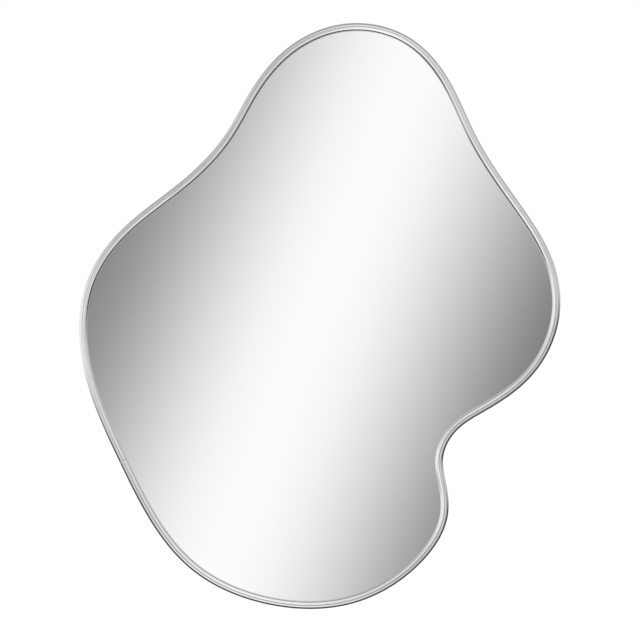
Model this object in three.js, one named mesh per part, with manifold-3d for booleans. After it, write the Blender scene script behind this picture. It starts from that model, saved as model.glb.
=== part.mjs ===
// A wall mirror with an irregular, pebble-like outline. One bent metal rail, whose two ends meet at a
// butt seam on the lower left, holds a silvered pane and a backing board. Clips screwed to the board
// reach under the rail's rear lip, and two D-ring hangers carry the mirror on the wall.
//
// Millimetres. +X is to the viewer's right, +Z is up, the glass faces -Y and the wall is at +Y.
// Round the edge, a place is a station: a point on the rail's outer edge with its inward normal.
// A section is drawn in [inset, depth]: inset runs inward from the outer edge, and depth runs back
// from the front of the rail.
import * as THREE from "three";
import { mergeVertices } from "three/addons/utils/BufferGeometryUtils.js";
import Module from "manifold-3d";

const wasm = await Module();
wasm.setup();

// ---- Outline ------------------------------------------------------------------------------------

const MIRROR_WIDTH = 698;
const MIRROR_HEIGHT = 850;

// Points on the rail's outer edge, [x, z], clockwise as the viewer sees it, from the seam round to
// the seam. They give the shape alone: the outline is fitted to the width and height above.
const OUTLINE_KNOTS = [
  [-291, -212], // the seam, on the long lower left flank
  [-327, -131],
  [-349, -39], // left lobe
  [-337, 55],
  [-289, 125],
  [-205, 193], // left shoulder, hollow
  [-136, 266],
  [-102, 325],
  [-51, 386],
  [36, 424], // crown
  [133, 402],
  [187, 343],
  [228, 259], // right shoulder, slightly hollow
  [291, 162],
  [340, 75],
  [347, -5], // right lobe
  [308, -86],
  [241, -137],
  [195, -170],
  [179, -206], // notch
  [183, -240],
  [186, -288],
  [143, -361],
  [49, -416], // bottom lobe
  [-75, -418],
  [-191, -364],
  [-253, -286],
];

const SAMPLES_PER_SPAN = 48; // fine steps between two knots, along which lengths are measured
const STATION_TURN = 5.5; // degrees that the rail may turn between two stations
const STATION_SPACING = 30; // longest step between two stations

// ---- Rail ---------------------------------------------------------------------------------------

const FACE_WIDTH = 11.5; // from the outer edge to the inner edge, seen from the front
const FLANGE_THICKNESS = 5.4; // from the front of the rail to the seat of the glass
const WALL_THICKNESS = 1.6;
const LIP_WIDTH = 5; // the rear lip, from the outer edge
const LIP_THICKNESS = 1.6;
const SHOULDER_RADIUS = 4.6; // the round outer shoulder
const GROOVE_DEPTH = 0.6; // the fine groove between the shoulder and the inner bead
const GROOVE_WIDTH = 2.2;
const BEAD_RADIUS = 2.6; // the round inner edge of the bead
const REAR_CHAMFER = 0.8;
const ROUND_STEPS = 4; // facets on each of the face's two roundings
const SEAM_GAP = 0.3;

// ---- Layers behind the flange, from front to back -------------------------------------------------

const LAYER_GAP = 0.1; // between two layers that lie on each other
const GLAZING_TAPE_THICKNESS = 0.6;
const GLAZING_TAPE_MARGIN = 0.8; // from the tape to the flange's edge and to the pane's edge
const PANE_CLEARANCE = 0.6; // between the pane and the opening that the rear lip leaves
const GLASS_THICKNESS = 4;
const FILM_THICKNESS = 0.2;
const MOUNTING_TAPE_THICKNESS = 1;
const MOUNTING_TAPE_WIDTH = 20;
const MOUNTING_TAPE_MARGIN = 45; // from a strip's ends to the rail's outer edge
const MOUNTING_TAPE_SIDE_MARGIN = 124; // from the mirror's sides to the middle of the outer strips
const MOUNTING_TAPE_COUNT = 5;
const BOARD_THICKNESS = 5;
const REAR_RECESS = 7.3; // from the back of the board to the back of the rail

// ---- Fixings --------------------------------------------------------------------------------------

const CLIP_COUNT = 10;
const CLIP_WIDTH = 16;
const CLIP_THICKNESS = 1.2;
const CLIP_FOOT_LENGTH = 20;
const CLIP_TOE_CLEARANCE = 0.8; // between a clip's toe and the rail's wall
const CLIP_RISER_CLEARANCE = 0.4; // between a clip's riser and the edge of the rear lip

const SCREW_RADIUS = 1.45;
const SCREW_HEAD_RADIUS = 2.9;
const SCREW_HEAD_HEIGHT = 1.8;
const SCREW_HEAD_EDGE = 0.9; // height of the head's straight edge
const SCREW_CROWN_RADIUS = 1.9; // the flat on top of the head
const SCREW_POINT_LENGTH = 0.9;
const SCREW_BITE = 4.2; // how far a screw goes into the board
const SCREW_FIT = 0.15; // between a screw and the hole it bites in
const SCREW_PLAY = 0.25; // between a screw and the hole it passes through
const SCREW_SIDES = 10;

const JOINER_LENGTH = 64;
const JOINER_THICKNESS = 2.2;
const JOINER_CLEARANCE = 0.15; // between the joiner and the rail's wall
const JOINER_MARGIN = 0.6; // between the joiner and the flange and lip
const JOINER_SCREW_OFFSET = 19; // from the seam to each screw
const JOINER_SCREW_HEAD_RADIUS = 2.7;
const JOINER_SCREW_HEAD_DEPTH = 1.3;
const JOINER_SCREW_BITE = 0.9; // how far the screw goes into the rail's wall

// ---- Hangers and bumpers --------------------------------------------------------------------------

const HANGER_SPACING = 300;
const HANGER_CENTRE_X = -4; // midway between the hangers, over the mirror's centre of mass
const HANGER_HEIGHT = 150; // of the rings' pivots, above the middle of the mirror
const WIRE_RADIUS = 1.5;
const RING_WIDTH = 21; // from centre line to centre line of the wire
const RING_HEIGHT = 17; // from the pivot to the top of the wire's centre line
const RING_CORNER_RADIUS = 3;
const RING_SIDES = 8;
const RING_CORNER_STEPS = 3;
const RING_BOW_STEPS = 14;
const EYE_CLEARANCE = 0.3; // between the ring and the strap's eye
const EYE_WRAP = 200; // degrees past the front of the eye at which its curl ends
const EYE_STEPS = 12;
const STRAP_THICKNESS = 1.2;
const STRAP_WIDTH = 13;
const STRAP_LENGTH = 40; // from the pivot to the strap's round end
const STRAP_END_STEPS = 10;
const STRAP_SCREW_DISTANCE = 10.5; // from the pivot to the upper screw
const STRAP_SCREW_MARGIN = 9; // from the lower screw to the strap's round end

const BUMPER_RADIUS = 7;
const BUMPER_DRAFT = 0.4; // how much smaller its radius is at the rear than at its foot
const BUMPER_CHAMFER = 0.8;
const BUMPER_SIDES = 20;
const BUMPER_STANDOFF = 1.5; // how far the bumpers stand out behind the rail
const BUMPER_INSET = 38; // from the rail's outer edge to a bumper's centre
const BUMPER_KNOTS = { upper_left: 7, upper_right: 11, lower_left: 26, lower_right: 22 };

// ---- Depths that follow ---------------------------------------------------------------------------

const glazingTapeFront = FLANGE_THICKNESS + LAYER_GAP;
const glassFront = glazingTapeFront + GLAZING_TAPE_THICKNESS + LAYER_GAP;
const filmFront = glassFront + GLASS_THICKNESS + LAYER_GAP;
const mountingTapeFront = filmFront + FILM_THICKNESS + LAYER_GAP;
const boardFront = mountingTapeFront + MOUNTING_TAPE_THICKNESS + LAYER_GAP;
const boardRear = boardFront + BOARD_THICKNESS;
const frameDepth = boardRear + REAR_RECESS;
const lipFront = frameDepth - LIP_THICKNESS;
const overallDepth = frameDepth + BUMPER_STANDOFF;
const paneInset = LIP_WIDTH + PANE_CLEARANCE;
const fixingFront = boardRear + LAYER_GAP;
const eyeRadius = WIRE_RADIUS + EYE_CLEARANCE + STRAP_THICKNESS;
const strapScrewDistances = [STRAP_SCREW_DISTANCE, STRAP_LENGTH - STRAP_SCREW_MARGIN];

// ---- Materials ------------------------------------------------------------------------------------

function material(color, roughness, metalness) {
  return new THREE.MeshStandardMaterial({ color, roughness, metalness });
}

const materials = {
  polishedMetal: material(0xd9dadb, 0.12, 1),
  silveredGlass: material(0xd4d8d7, 0.03, 1),
  zincSteel: material(0xb4b7b8, 0.38, 1),
  board: material(0x8a6a48, 0.85, 0),
  film: material(0x9fb4bf, 0.5, 0),
  foamTape: material(0xe6e6e2, 0.9, 0),
  rubber: material(0x2b2b2c, 0.8, 0),
};

// ---- Solids ---------------------------------------------------------------------------------------

const MERGE_DISTANCE = 1e-4; // vertices this close are one vertex

// Turns every face of an indexed geometry over if it encloses a negative volume.
function facingOut(geometry) {
  const position = geometry.getAttribute("position");
  const index = geometry.index.array;
  const [a, b, c] = [new THREE.Vector3(), new THREE.Vector3(), new THREE.Vector3()];
  let volume = 0;
  for (let i = 0; i < index.length; i += 3) {
    a.fromBufferAttribute(position, index[i]);
    b.fromBufferAttribute(position, index[i + 1]);
    c.fromBufferAttribute(position, index[i + 2]);
    volume += a.dot(b.cross(c)) / 6;
  }
  if (volume < 0) {
    for (let i = 0; i < index.length; i += 3) {
      [index[i + 1], index[i + 2]] = [index[i + 2], index[i + 1]];
    }
  }
  return geometry;
}

function closed(geometry) {
  const bare = geometry.clone();
  bare.deleteAttribute("normal");
  bare.deleteAttribute("uv");
  return facingOut(mergeVertices(bare, MERGE_DISTANCE));
}

function toSolid(geometry) {
  const merged = closed(geometry);
  const vertProperties = new Float32Array(merged.getAttribute("position").array);
  const triVerts = new Uint32Array(merged.index.array);
  return new wasm.Manifold(new wasm.Mesh({ numProp: 3, vertProperties, triVerts }));
}

function toGeometry(solid) {
  const mesh = solid.getMesh();
  const geometry = new THREE.BufferGeometry();
  geometry.setAttribute("position", new THREE.BufferAttribute(mesh.vertProperties, 3));
  geometry.setIndex(new THREE.BufferAttribute(mesh.triVerts, 1));
  return geometry;
}

function cut(geometry, tools) {
  return toGeometry(tools.reduce((solid, tool) => solid.subtract(toSolid(tool)), toSolid(geometry)));
}

function meshOf(name, geometry, finish) {
  const mesh = new THREE.Mesh(geometry, finish);
  mesh.name = name;
  return mesh;
}

// ---- The outline as a curve -----------------------------------------------------------------------

// Tangents at the knots for which the closed curve's second derivative is continuous.
function knotTangents(knots, spans) {
  const count = knots.length;
  const tangents = knots.map(() => [0, 0]);
  const SWEEPS = 60;
  for (let sweep = 0; sweep < SWEEPS; sweep++) {
    for (let i = 0; i < count; i++) {
      const before = (i + count - 1) % count;
      const after = (i + 1) % count;
      const [h0, h1] = [spans[before], spans[i]];
      for (const axis of [0, 1]) {
        const slopeIn = (knots[i][axis] - knots[before][axis]) / h0;
        const slopeOut = (knots[after][axis] - knots[i][axis]) / h1;
        const neighbours = h1 * tangents[before][axis] + h0 * tangents[after][axis];
        tangents[i][axis] = (3 * (h1 * slopeIn + h0 * slopeOut) - neighbours) / (2 * (h0 + h1));
      }
    }
  }
  return tangents;
}

function hermite(p0, m0, p1, m1, span, t) {
  const t2 = t * t;
  const t3 = t2 * t;
  return (
    (2 * t3 - 3 * t2 + 1) * p0 +
    (t3 - 2 * t2 + t) * span * m0 +
    (3 * t2 - 2 * t3) * p1 +
    (t3 - t2) * span * m1
  );
}

// The closed curve through the knots, as fine samples fitted to the given width and height.
function sampleOutline(knots, width, height) {
  const next = (i) => knots[(i + 1) % knots.length];
  const spans = knots.map((knot, i) => Math.hypot(next(i)[0] - knot[0], next(i)[1] - knot[1]));
  const tangents = knotTangents(knots, spans);
  const samples = [];
  knots.forEach((knot, i) => {
    const after = (i + 1) % knots.length;
    for (let step = 0; step < SAMPLES_PER_SPAN; step++) {
      const t = step / SAMPLES_PER_SPAN;
      samples.push(
        [0, 1].map((axis) =>
          hermite(knot[axis], tangents[i][axis], knots[after][axis], tangents[after][axis], spans[i], t),
        ),
      );
    }
  });
  const fit = [width, height].map((size, axis) => {
    const values = samples.map((sample) => sample[axis]);
    const [low, high] = [Math.min(...values), Math.max(...values)];
    return { scale: size / (high - low), middle: (low + high) / 2 };
  });
  return samples.map((sample) => sample.map((value, axis) => (value - fit[axis].middle) * fit[axis].scale));
}

const samples = sampleOutline(OUTLINE_KNOTS, MIRROR_WIDTH, MIRROR_HEIGHT);
const sampleCount = samples.length;
const sampleLengths = [0];
for (let i = 0; i < sampleCount; i++) {
  const [x0, z0] = samples[i];
  const [x1, z1] = samples[(i + 1) % sampleCount];
  sampleLengths.push(sampleLengths[i] + Math.hypot(x1 - x0, z1 - z0));
}
const outlineLength = sampleLengths[sampleCount];

function sampleDirection(i) {
  const [x0, z0] = samples[(i + sampleCount - 1) % sampleCount];
  const [x1, z1] = samples[(i + 1) % sampleCount];
  return Math.atan2(z1 - z0, x1 - x0);
}

// The station at a length along the outline, measured clockwise from the seam.
function stationAt(length) {
  const along = ((length % outlineLength) + outlineLength) % outlineLength;
  let i = 0;
  while (sampleLengths[i + 1] <= along && i < sampleCount - 1) i++;
  const share = (along - sampleLengths[i]) / (sampleLengths[i + 1] - sampleLengths[i]);
  const [p0, p1] = [samples[i], samples[(i + 1) % sampleCount]];
  const before = sampleDirection(i);
  const turn = turnBetween(before, sampleDirection((i + 1) % sampleCount));
  const direction = before + turn * share;
  return {
    x: p0[0] + (p1[0] - p0[0]) * share,
    z: p0[1] + (p1[1] - p0[1]) * share,
    inX: Math.sin(direction),
    inZ: -Math.cos(direction),
  };
}

function turnBetween(from, to) {
  return Math.atan2(Math.sin(to - from), Math.cos(to - from));
}

// Lengths along the outline between two limits, closer together where it turns more.
function stationLengths(from, to) {
  const maxTurn = THREE.MathUtils.degToRad(STATION_TURN);
  const first = Math.round(from);
  const cost = [0];
  for (let length = first; length < to; length++) {
    const here = stationAt(length);
    const ahead = stationAt(length + 1);
    const turn = Math.abs(Math.asin(here.inX * ahead.inZ - here.inZ * ahead.inX));
    cost.push(cost[cost.length - 1] + Math.max(turn / maxTurn, 1 / STATION_SPACING));
  }
  const total = cost[cost.length - 1];
  const steps = Math.ceil(total);
  const lengths = [from];
  for (let k = 1, i = 0; k < steps; k++) {
    while (cost[i] < (total * k) / steps) i++;
    lengths.push(first + i);
  }
  lengths.push(to);
  return lengths;
}

function pointAt(station, inset) {
  return [station.x + station.inX * inset, station.z + station.inZ * inset];
}

const ringStations = stationLengths(0, outlineLength).slice(0, -1).map(stationAt);

// ---- Swept and flat pieces ------------------------------------------------------------------------

// A section of [inset, depth] points carried past the stations. It joins up with itself, or its two
// ends are closed by flat faces.
function sweep(stations, section, joinsUp) {
  const positions = [];
  for (const station of stations) {
    for (const [inset, depth] of section) {
      const [x, z] = pointAt(station, inset);
      positions.push(x, depth, z);
    }
  }
  const around = section.length;
  const indices = [];
  const runs = joinsUp ? stations.length : stations.length - 1;
  for (let i = 0; i < runs; i++) {
    const here = i * around;
    const ahead = ((i + 1) % stations.length) * around;
    for (let j = 0; j < around; j++) {
      const k = (j + 1) % around;
      indices.push(here + j, ahead + j, ahead + k, here + j, ahead + k, here + k);
    }
  }
  if (!joinsUp) {
    const flat = section.map(([inset, depth]) => new THREE.Vector2(inset, depth));
    const last = (stations.length - 1) * around;
    for (const [a, b, c] of THREE.ShapeUtils.triangulateShape(flat, [])) {
      // The first cap faces the other way from the last; both follow the section's own direction.
      const [p, q] = THREE.ShapeUtils.isClockWise(flat) ? [b, c] : [c, b];
      indices.push(a, q, p, last + a, last + p, last + q);
    }
  }
  const geometry = new THREE.BufferGeometry();
  geometry.setAttribute("position", new THREE.Float32BufferAttribute(positions, 3));
  geometry.setIndex(indices);
  return facingOut(geometry);
}

// A flat layer with the outline's shape, set in from the outer edge, between two depths.
function layer(inset, front, rear) {
  const shape = new THREE.Shape(ringStations.map((station) => new THREE.Vector2(...pointAt(station, inset))));
  const geometry = new THREE.ExtrudeGeometry(shape, { depth: rear - front, bevelEnabled: false });
  return geometry.rotateX(Math.PI / 2).translate(0, rear, 0);
}

function turned(profile, sides) {
  const points = profile.map(([radius, height]) => new THREE.Vector2(radius, height));
  return closed(new THREE.LatheGeometry(points, sides));
}

function roundHole(x, z, radius, front, rear) {
  const hole = new THREE.CylinderGeometry(radius, radius, rear - front, SCREW_SIDES);
  return hole.translate(x, (front + rear) / 2, z);
}

function arcPoints(centre, radius, fromDegrees, toDegrees, steps) {
  return Array.from({ length: steps + 1 }, (_, i) => {
    const angle = THREE.MathUtils.degToRad(fromDegrees + ((toDegrees - fromDegrees) * i) / steps);
    return [centre[0] + radius * Math.cos(angle), centre[1] + radius * Math.sin(angle)];
  });
}

// ---- Rail, its joiner and the joiner's screws -------------------------------------------------------

function railSection() {
  const grooveMiddle = SHOULDER_RADIUS + GROOVE_WIDTH / 2;
  const shoulder = arcPoints([SHOULDER_RADIUS, SHOULDER_RADIUS], SHOULDER_RADIUS, 180, 270, ROUND_STEPS);
  const bead = arcPoints([FACE_WIDTH - BEAD_RADIUS, BEAD_RADIUS], BEAD_RADIUS, 270, 360, ROUND_STEPS);
  return [
    [LIP_WIDTH, frameDepth],
    [REAR_CHAMFER, frameDepth],
    [0, frameDepth - REAR_CHAMFER],
    ...shoulder,
    [grooveMiddle, GROOVE_DEPTH],
    [SHOULDER_RADIUS + GROOVE_WIDTH, 0],
    ...bead,
    [FACE_WIDTH, FLANGE_THICKNESS],
    [WALL_THICKNESS, FLANGE_THICKNESS],
    [WALL_THICKNESS, lipFront],
    [LIP_WIDTH, lipFront],
  ];
}

const joinerInner = WALL_THICKNESS + JOINER_CLEARANCE + JOINER_THICKNESS;
const joinerFront = FLANGE_THICKNESS + JOINER_MARGIN;
const joinerRear = lipFront - JOINER_MARGIN;

// A countersunk screw along the inward normal, from its tip in the rail's wall to its flush head.
function joinerScrewShape(play) {
  const tip = WALL_THICKNESS - JOINER_SCREW_BITE - play;
  const neck = joinerInner - JOINER_SCREW_HEAD_DEPTH;
  return turned(
    [
      [0, tip],
      [SCREW_RADIUS + play, tip],
      [SCREW_RADIUS + play, neck],
      [JOINER_SCREW_HEAD_RADIUS + play, joinerInner],
      [0, joinerInner],
    ],
    SCREW_SIDES,
  );
}

// Where a joiner screw sits: its own +Y axis runs inward from the rail's outer edge.
function joinerScrewPlace(side) {
  const station = stationAt(side * JOINER_SCREW_OFFSET);
  const place = new THREE.Object3D();
  place.position.set(station.x, (joinerFront + joinerRear) / 2, station.z);
  const inward = new THREE.Vector3(station.inX, 0, station.inZ);
  place.quaternion.setFromUnitVectors(new THREE.Vector3(0, 1, 0), inward);
  place.updateMatrix();
  return place;
}

function joinerScrewHoles() {
  return [-1, 1].map((side) => {
    const place = joinerScrewPlace(side);
    return joinerScrewShape(SCREW_FIT).applyMatrix4(place.matrix);
  });
}

function buildRail() {
  const stations = stationLengths(SEAM_GAP / 2, outlineLength - SEAM_GAP / 2).map(stationAt);
  return cut(sweep(stations, railSection(), false), joinerScrewHoles());
}

function buildJoiner() {
  const stations = stationLengths(-JOINER_LENGTH / 2, JOINER_LENGTH / 2).map(stationAt);
  const outer = WALL_THICKNESS + JOINER_CLEARANCE;
  const section = [
    [outer, joinerFront],
    [joinerInner, joinerFront],
    [joinerInner, joinerRear],
    [outer, joinerRear],
  ];
  return cut(sweep(stations, section, false), joinerScrewHoles());
}

// ---- Glazing ----------------------------------------------------------------------------------------

function buildGlazingTape() {
  const inner = FACE_WIDTH - GLAZING_TAPE_MARGIN;
  const outer = paneInset + GLAZING_TAPE_MARGIN;
  const rear = glazingTapeFront + GLAZING_TAPE_THICKNESS;
  const section = [
    [outer, glazingTapeFront],
    [inner, glazingTapeFront],
    [inner, rear],
    [outer, rear],
  ];
  return sweep(ringStations, section, true);
}

// The lowest and highest places where the outline crosses a vertical line near the mirror's middle.
function heightsAt(x) {
  const crossings = [];
  samples.forEach(([x0, z0], i) => {
    const [x1, z1] = samples[(i + 1) % sampleCount];
    if (x0 <= x !== x1 <= x) crossings.push(z0 + ((z1 - z0) * (x - x0)) / (x1 - x0));
  });
  return [Math.min(...crossings), Math.max(...crossings)];
}

function mountingTapeStrip(index) {
  const reach = MIRROR_WIDTH / 2 - MOUNTING_TAPE_SIDE_MARGIN;
  const x = THREE.MathUtils.lerp(-reach, reach, index / (MOUNTING_TAPE_COUNT - 1));
  const left = heightsAt(x - MOUNTING_TAPE_WIDTH / 2);
  const right = heightsAt(x + MOUNTING_TAPE_WIDTH / 2);
  const low = Math.max(left[0], right[0]) + MOUNTING_TAPE_MARGIN;
  const high = Math.min(left[1], right[1]) - MOUNTING_TAPE_MARGIN;
  const strip = new THREE.BoxGeometry(MOUNTING_TAPE_WIDTH, MOUNTING_TAPE_THICKNESS, high - low);
  const mesh = meshOf("mounting_tape_" + (index + 1), strip, materials.foamTape);
  mesh.position.set(x, mountingTapeFront + MOUNTING_TAPE_THICKNESS / 2, (low + high) / 2);
  return mesh;
}

// ---- Clips and screws -------------------------------------------------------------------------------

const riserInset = LIP_WIDTH + CLIP_RISER_CLEARANCE;
const clipScrewInset = riserInset + CLIP_THICKNESS + CLIP_FOOT_LENGTH / 2;

function clipStation(index) {
  return stationAt((outlineLength * (index + 0.5)) / CLIP_COUNT);
}

// A Z-shaped clip: its toe lies under the rear lip and its foot on the board.
function buildClip() {
  const toeTip = WALL_THICKNESS + CLIP_TOE_CLEARANCE;
  const toeRear = lipFront - LAYER_GAP;
  const toeFront = toeRear - CLIP_THICKNESS;
  const footRear = fixingFront + CLIP_THICKNESS;
  const riserInner = riserInset + CLIP_THICKNESS;
  const footEnd = riserInner + CLIP_FOOT_LENGTH;
  const profile = new THREE.Shape([
    new THREE.Vector2(toeTip, toeFront),
    new THREE.Vector2(riserInset, toeFront),
    new THREE.Vector2(riserInset, fixingFront),
    new THREE.Vector2(footEnd, fixingFront),
    new THREE.Vector2(footEnd, footRear),
    new THREE.Vector2(riserInner, footRear),
    new THREE.Vector2(riserInner, toeRear),
    new THREE.Vector2(toeTip, toeRear),
  ]);
  const strip = new THREE.ExtrudeGeometry(profile, { depth: CLIP_WIDTH, bevelEnabled: false });
  strip.translate(0, 0, -CLIP_WIDTH / 2);
  const holeRadius = SCREW_RADIUS + SCREW_PLAY;
  return cut(strip, [roundHole(clipScrewInset, 0, holeRadius, boardRear, footRear + LAYER_GAP)]);
}

// A pan-head screw with its head's underside at height 0 and its shank in front of it.
function buildPanScrew(plateThickness) {
  const tip = -(plateThickness + LAYER_GAP + SCREW_BITE);
  return turned(
    [
      [0, tip],
      [SCREW_RADIUS, tip + SCREW_POINT_LENGTH],
      [SCREW_RADIUS, 0],
      [SCREW_HEAD_RADIUS, 0],
      [SCREW_HEAD_RADIUS, SCREW_HEAD_EDGE],
      [SCREW_CROWN_RADIUS, SCREW_HEAD_HEIGHT],
      [0, SCREW_HEAD_HEIGHT],
    ],
    SCREW_SIDES,
  );
}

const clipGeometry = buildClip();
const clipScrewGeometry = buildPanScrew(CLIP_THICKNESS);
const strapScrewGeometry = buildPanScrew(STRAP_THICKNESS);

function clipWithScrew(index) {
  const station = clipStation(index);
  const group = new THREE.Group();
  group.position.set(station.x, 0, station.z);
  group.rotation.y = Math.atan2(-station.inZ, station.inX);
  const clip = meshOf("retaining_clip_" + (index + 1), clipGeometry, materials.zincSteel);
  const screw = meshOf("clip_screw_" + (index + 1), clipScrewGeometry, materials.zincSteel);
  screw.position.set(clipScrewInset, fixingFront + CLIP_THICKNESS + LAYER_GAP, 0);
  group.add(clip, screw);
  return group;
}

// ---- Hangers ----------------------------------------------------------------------------------------

const pivotDepth = fixingFront + eyeRadius;

function hangerX(side) {
  return HANGER_CENTRE_X + (side * HANGER_SPACING) / 2;
}

// A steel strap whose upper end curls round the ring's straight bar. The pivot is at the origin.
function buildStrap() {
  const inner = eyeRadius - STRAP_THICKNESS;
  const side = new THREE.Shape(
    [
      [-STRAP_LENGTH, -eyeRadius],
      ...arcPoints([0, 0], eyeRadius, -90, EYE_WRAP, EYE_STEPS),
      ...arcPoints([0, 0], inner, EYE_WRAP, -90, EYE_STEPS),
      [-STRAP_LENGTH, -inner],
    ].map(([height, depth]) => new THREE.Vector2(height, depth)),
  );
  const strip = new THREE.ExtrudeGeometry(side, { depth: STRAP_WIDTH, bevelEnabled: false });
  strip.translate(0, 0, -STRAP_WIDTH / 2).rotateY(-Math.PI / 2);

  const halfWidth = STRAP_WIDTH / 2;
  const roundEnd = arcPoints([0, halfWidth - STRAP_LENGTH], halfWidth, 180, 360, STRAP_END_STEPS);
  const plan = new THREE.Shape(
    [...roundEnd, [halfWidth, STRAP_LENGTH], [-halfWidth, STRAP_LENGTH]].map((p) => new THREE.Vector2(...p)),
  );
  const blank = new THREE.ExtrudeGeometry(plan, { depth: STRAP_LENGTH, bevelEnabled: false });
  blank.rotateX(Math.PI / 2).translate(0, STRAP_LENGTH / 2, 0);

  const rounded = toGeometry(toSolid(strip).intersect(toSolid(blank)));
  const holes = strapScrewDistances.map((distance) =>
    roundHole(0, -distance, SCREW_RADIUS + SCREW_PLAY, -2 * eyeRadius, 0),
  );
  return cut(rounded, holes);
}

// A D-shaped wire ring: a straight bar through the pivot, two small corners and a half-ellipse bow.
function buildRing() {
  const half = RING_WIDTH / 2;
  const straight = half - RING_CORNER_RADIUS;
  const rise = RING_HEIGHT - RING_CORNER_RADIUS;
  const right = arcPoints([straight, RING_CORNER_RADIUS], RING_CORNER_RADIUS, -90, 0, RING_CORNER_STEPS);
  const bow = arcPoints([0, 0], 1, 0, 180, RING_BOW_STEPS).slice(1, -1);
  const left = arcPoints([-straight, RING_CORNER_RADIUS], RING_CORNER_RADIUS, 180, 270, RING_CORNER_STEPS);
  const path = [...right, ...bow.map(([c, s]) => [half * c, RING_CORNER_RADIUS + rise * s]), ...left];
  const stations = path.map(([x, z], i) => {
    const [x0, z0] = path[(i + path.length - 1) % path.length];
    const [x1, z1] = path[(i + 1) % path.length];
    const step = Math.hypot(x1 - x0, z1 - z0);
    return { x, z, inX: -(z1 - z0) / step, inZ: (x1 - x0) / step };
  });
  const wire = arcPoints([0, 0], WIRE_RADIUS, 0, 360, RING_SIDES).slice(0, -1);
  return sweep(stations, wire, true);
}

const strapGeometry = buildStrap();
const ringGeometry = buildRing();

function hanger(name, side) {
  const group = new THREE.Group();
  group.position.set(hangerX(side), pivotDepth, HANGER_HEIGHT);
  group.add(meshOf("hanger_strap_" + name, strapGeometry, materials.zincSteel));
  group.add(meshOf("hanger_ring_" + name, ringGeometry, materials.zincSteel));
  strapScrewDistances.forEach((distance, i) => {
    const screwName = "hanger_screw_" + name + "_" + (i + 1);
    const screw = meshOf(screwName, strapScrewGeometry, materials.zincSteel);
    screw.position.set(0, STRAP_THICKNESS + LAYER_GAP - eyeRadius, -distance);
    group.add(screw);
  });
  return group;
}

// ---- Backing board and bumpers ----------------------------------------------------------------------

function screwPlaces() {
  const clips = Array.from({ length: CLIP_COUNT }, (_, i) => pointAt(clipStation(i), clipScrewInset));
  const straps = [-1, 1].flatMap((side) =>
    strapScrewDistances.map((distance) => [hangerX(side), HANGER_HEIGHT - distance]),
  );
  return [...clips, ...straps];
}

function buildBoard() {
  const holeRadius = SCREW_RADIUS + SCREW_FIT;
  const holeFront = boardRear - SCREW_BITE - SCREW_FIT;
  const holes = screwPlaces().map(([x, z]) => roundHole(x, z, holeRadius, holeFront, frameDepth));
  return cut(layer(paneInset, boardFront, boardRear), holes);
}

function bumper(name, knot) {
  const station = stationAt(sampleLengths[knot * SAMPLES_PER_SPAN]);
  const height = overallDepth - fixingFront;
  const rearRadius = BUMPER_RADIUS - BUMPER_DRAFT;
  const shape = turned(
    [
      [0, 0],
      [BUMPER_RADIUS, 0],
      [rearRadius, height - BUMPER_CHAMFER],
      [rearRadius - BUMPER_CHAMFER, height],
      [0, height],
    ],
    BUMPER_SIDES,
  );
  const mesh = meshOf("wall_bumper_" + name, shape, materials.rubber);
  const [x, z] = pointAt(station, BUMPER_INSET);
  mesh.position.set(x, fixingFront, z);
  return mesh;
}

// ---- The mirror -------------------------------------------------------------------------------------

const mirror = new THREE.Group();
const assembly = new THREE.Group();
assembly.position.y = -overallDepth / 2; // depth 0, the front of the rail, is half the depth in front
mirror.add(assembly);

assembly.add(meshOf("frame_rail", buildRail(), materials.polishedMetal));
assembly.add(meshOf("seam_joiner", buildJoiner(), materials.zincSteel));
[-1, 1].forEach((side, i) => {
  const place = joinerScrewPlace(side);
  const screw = meshOf("joiner_screw_" + (i + 1), joinerScrewShape(0), materials.zincSteel);
  screw.position.copy(place.position);
  screw.quaternion.copy(place.quaternion);
  assembly.add(screw);
});
assembly.add(meshOf("glazing_tape", buildGlazingTape(), materials.foamTape));
const glass = layer(paneInset, glassFront, glassFront + GLASS_THICKNESS);
assembly.add(meshOf("mirror_glass", glass, materials.silveredGlass));
const film = layer(paneInset, filmFront, filmFront + FILM_THICKNESS);
assembly.add(meshOf("safety_film", film, materials.film));
for (let i = 0; i < MOUNTING_TAPE_COUNT; i++) assembly.add(mountingTapeStrip(i));
assembly.add(meshOf("backing_board", buildBoard(), materials.board));
for (let i = 0; i < CLIP_COUNT; i++) assembly.add(clipWithScrew(i));
assembly.add(hanger("left", -1), hanger("right", 1));
for (const [name, knot] of Object.entries(BUMPER_KNOTS)) assembly.add(bumper(name, knot));

export default mirror;
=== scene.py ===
"""A wall mirror with an irregular, pebble-like outline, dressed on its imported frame.

Metres, as in the frame: +X is to the viewer's right, +Z is up, the glass faces -Y and the wall is at
+Y. What follows the mirror's edge is drawn flat, in the X-Y plane, and is then stood up: across the
edge it is drawn in [inset, depth], where inset runs inward from the outer edge of the rail and depth
runs back from the front of the rail.
"""

import math

import bmesh
import bpy
from bpy.props import FloatProperty, FloatVectorProperty, IntProperty, PointerProperty
from bpy.types import Operator, Panel, PropertyGroup
from mathutils import Matrix, Vector


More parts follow.
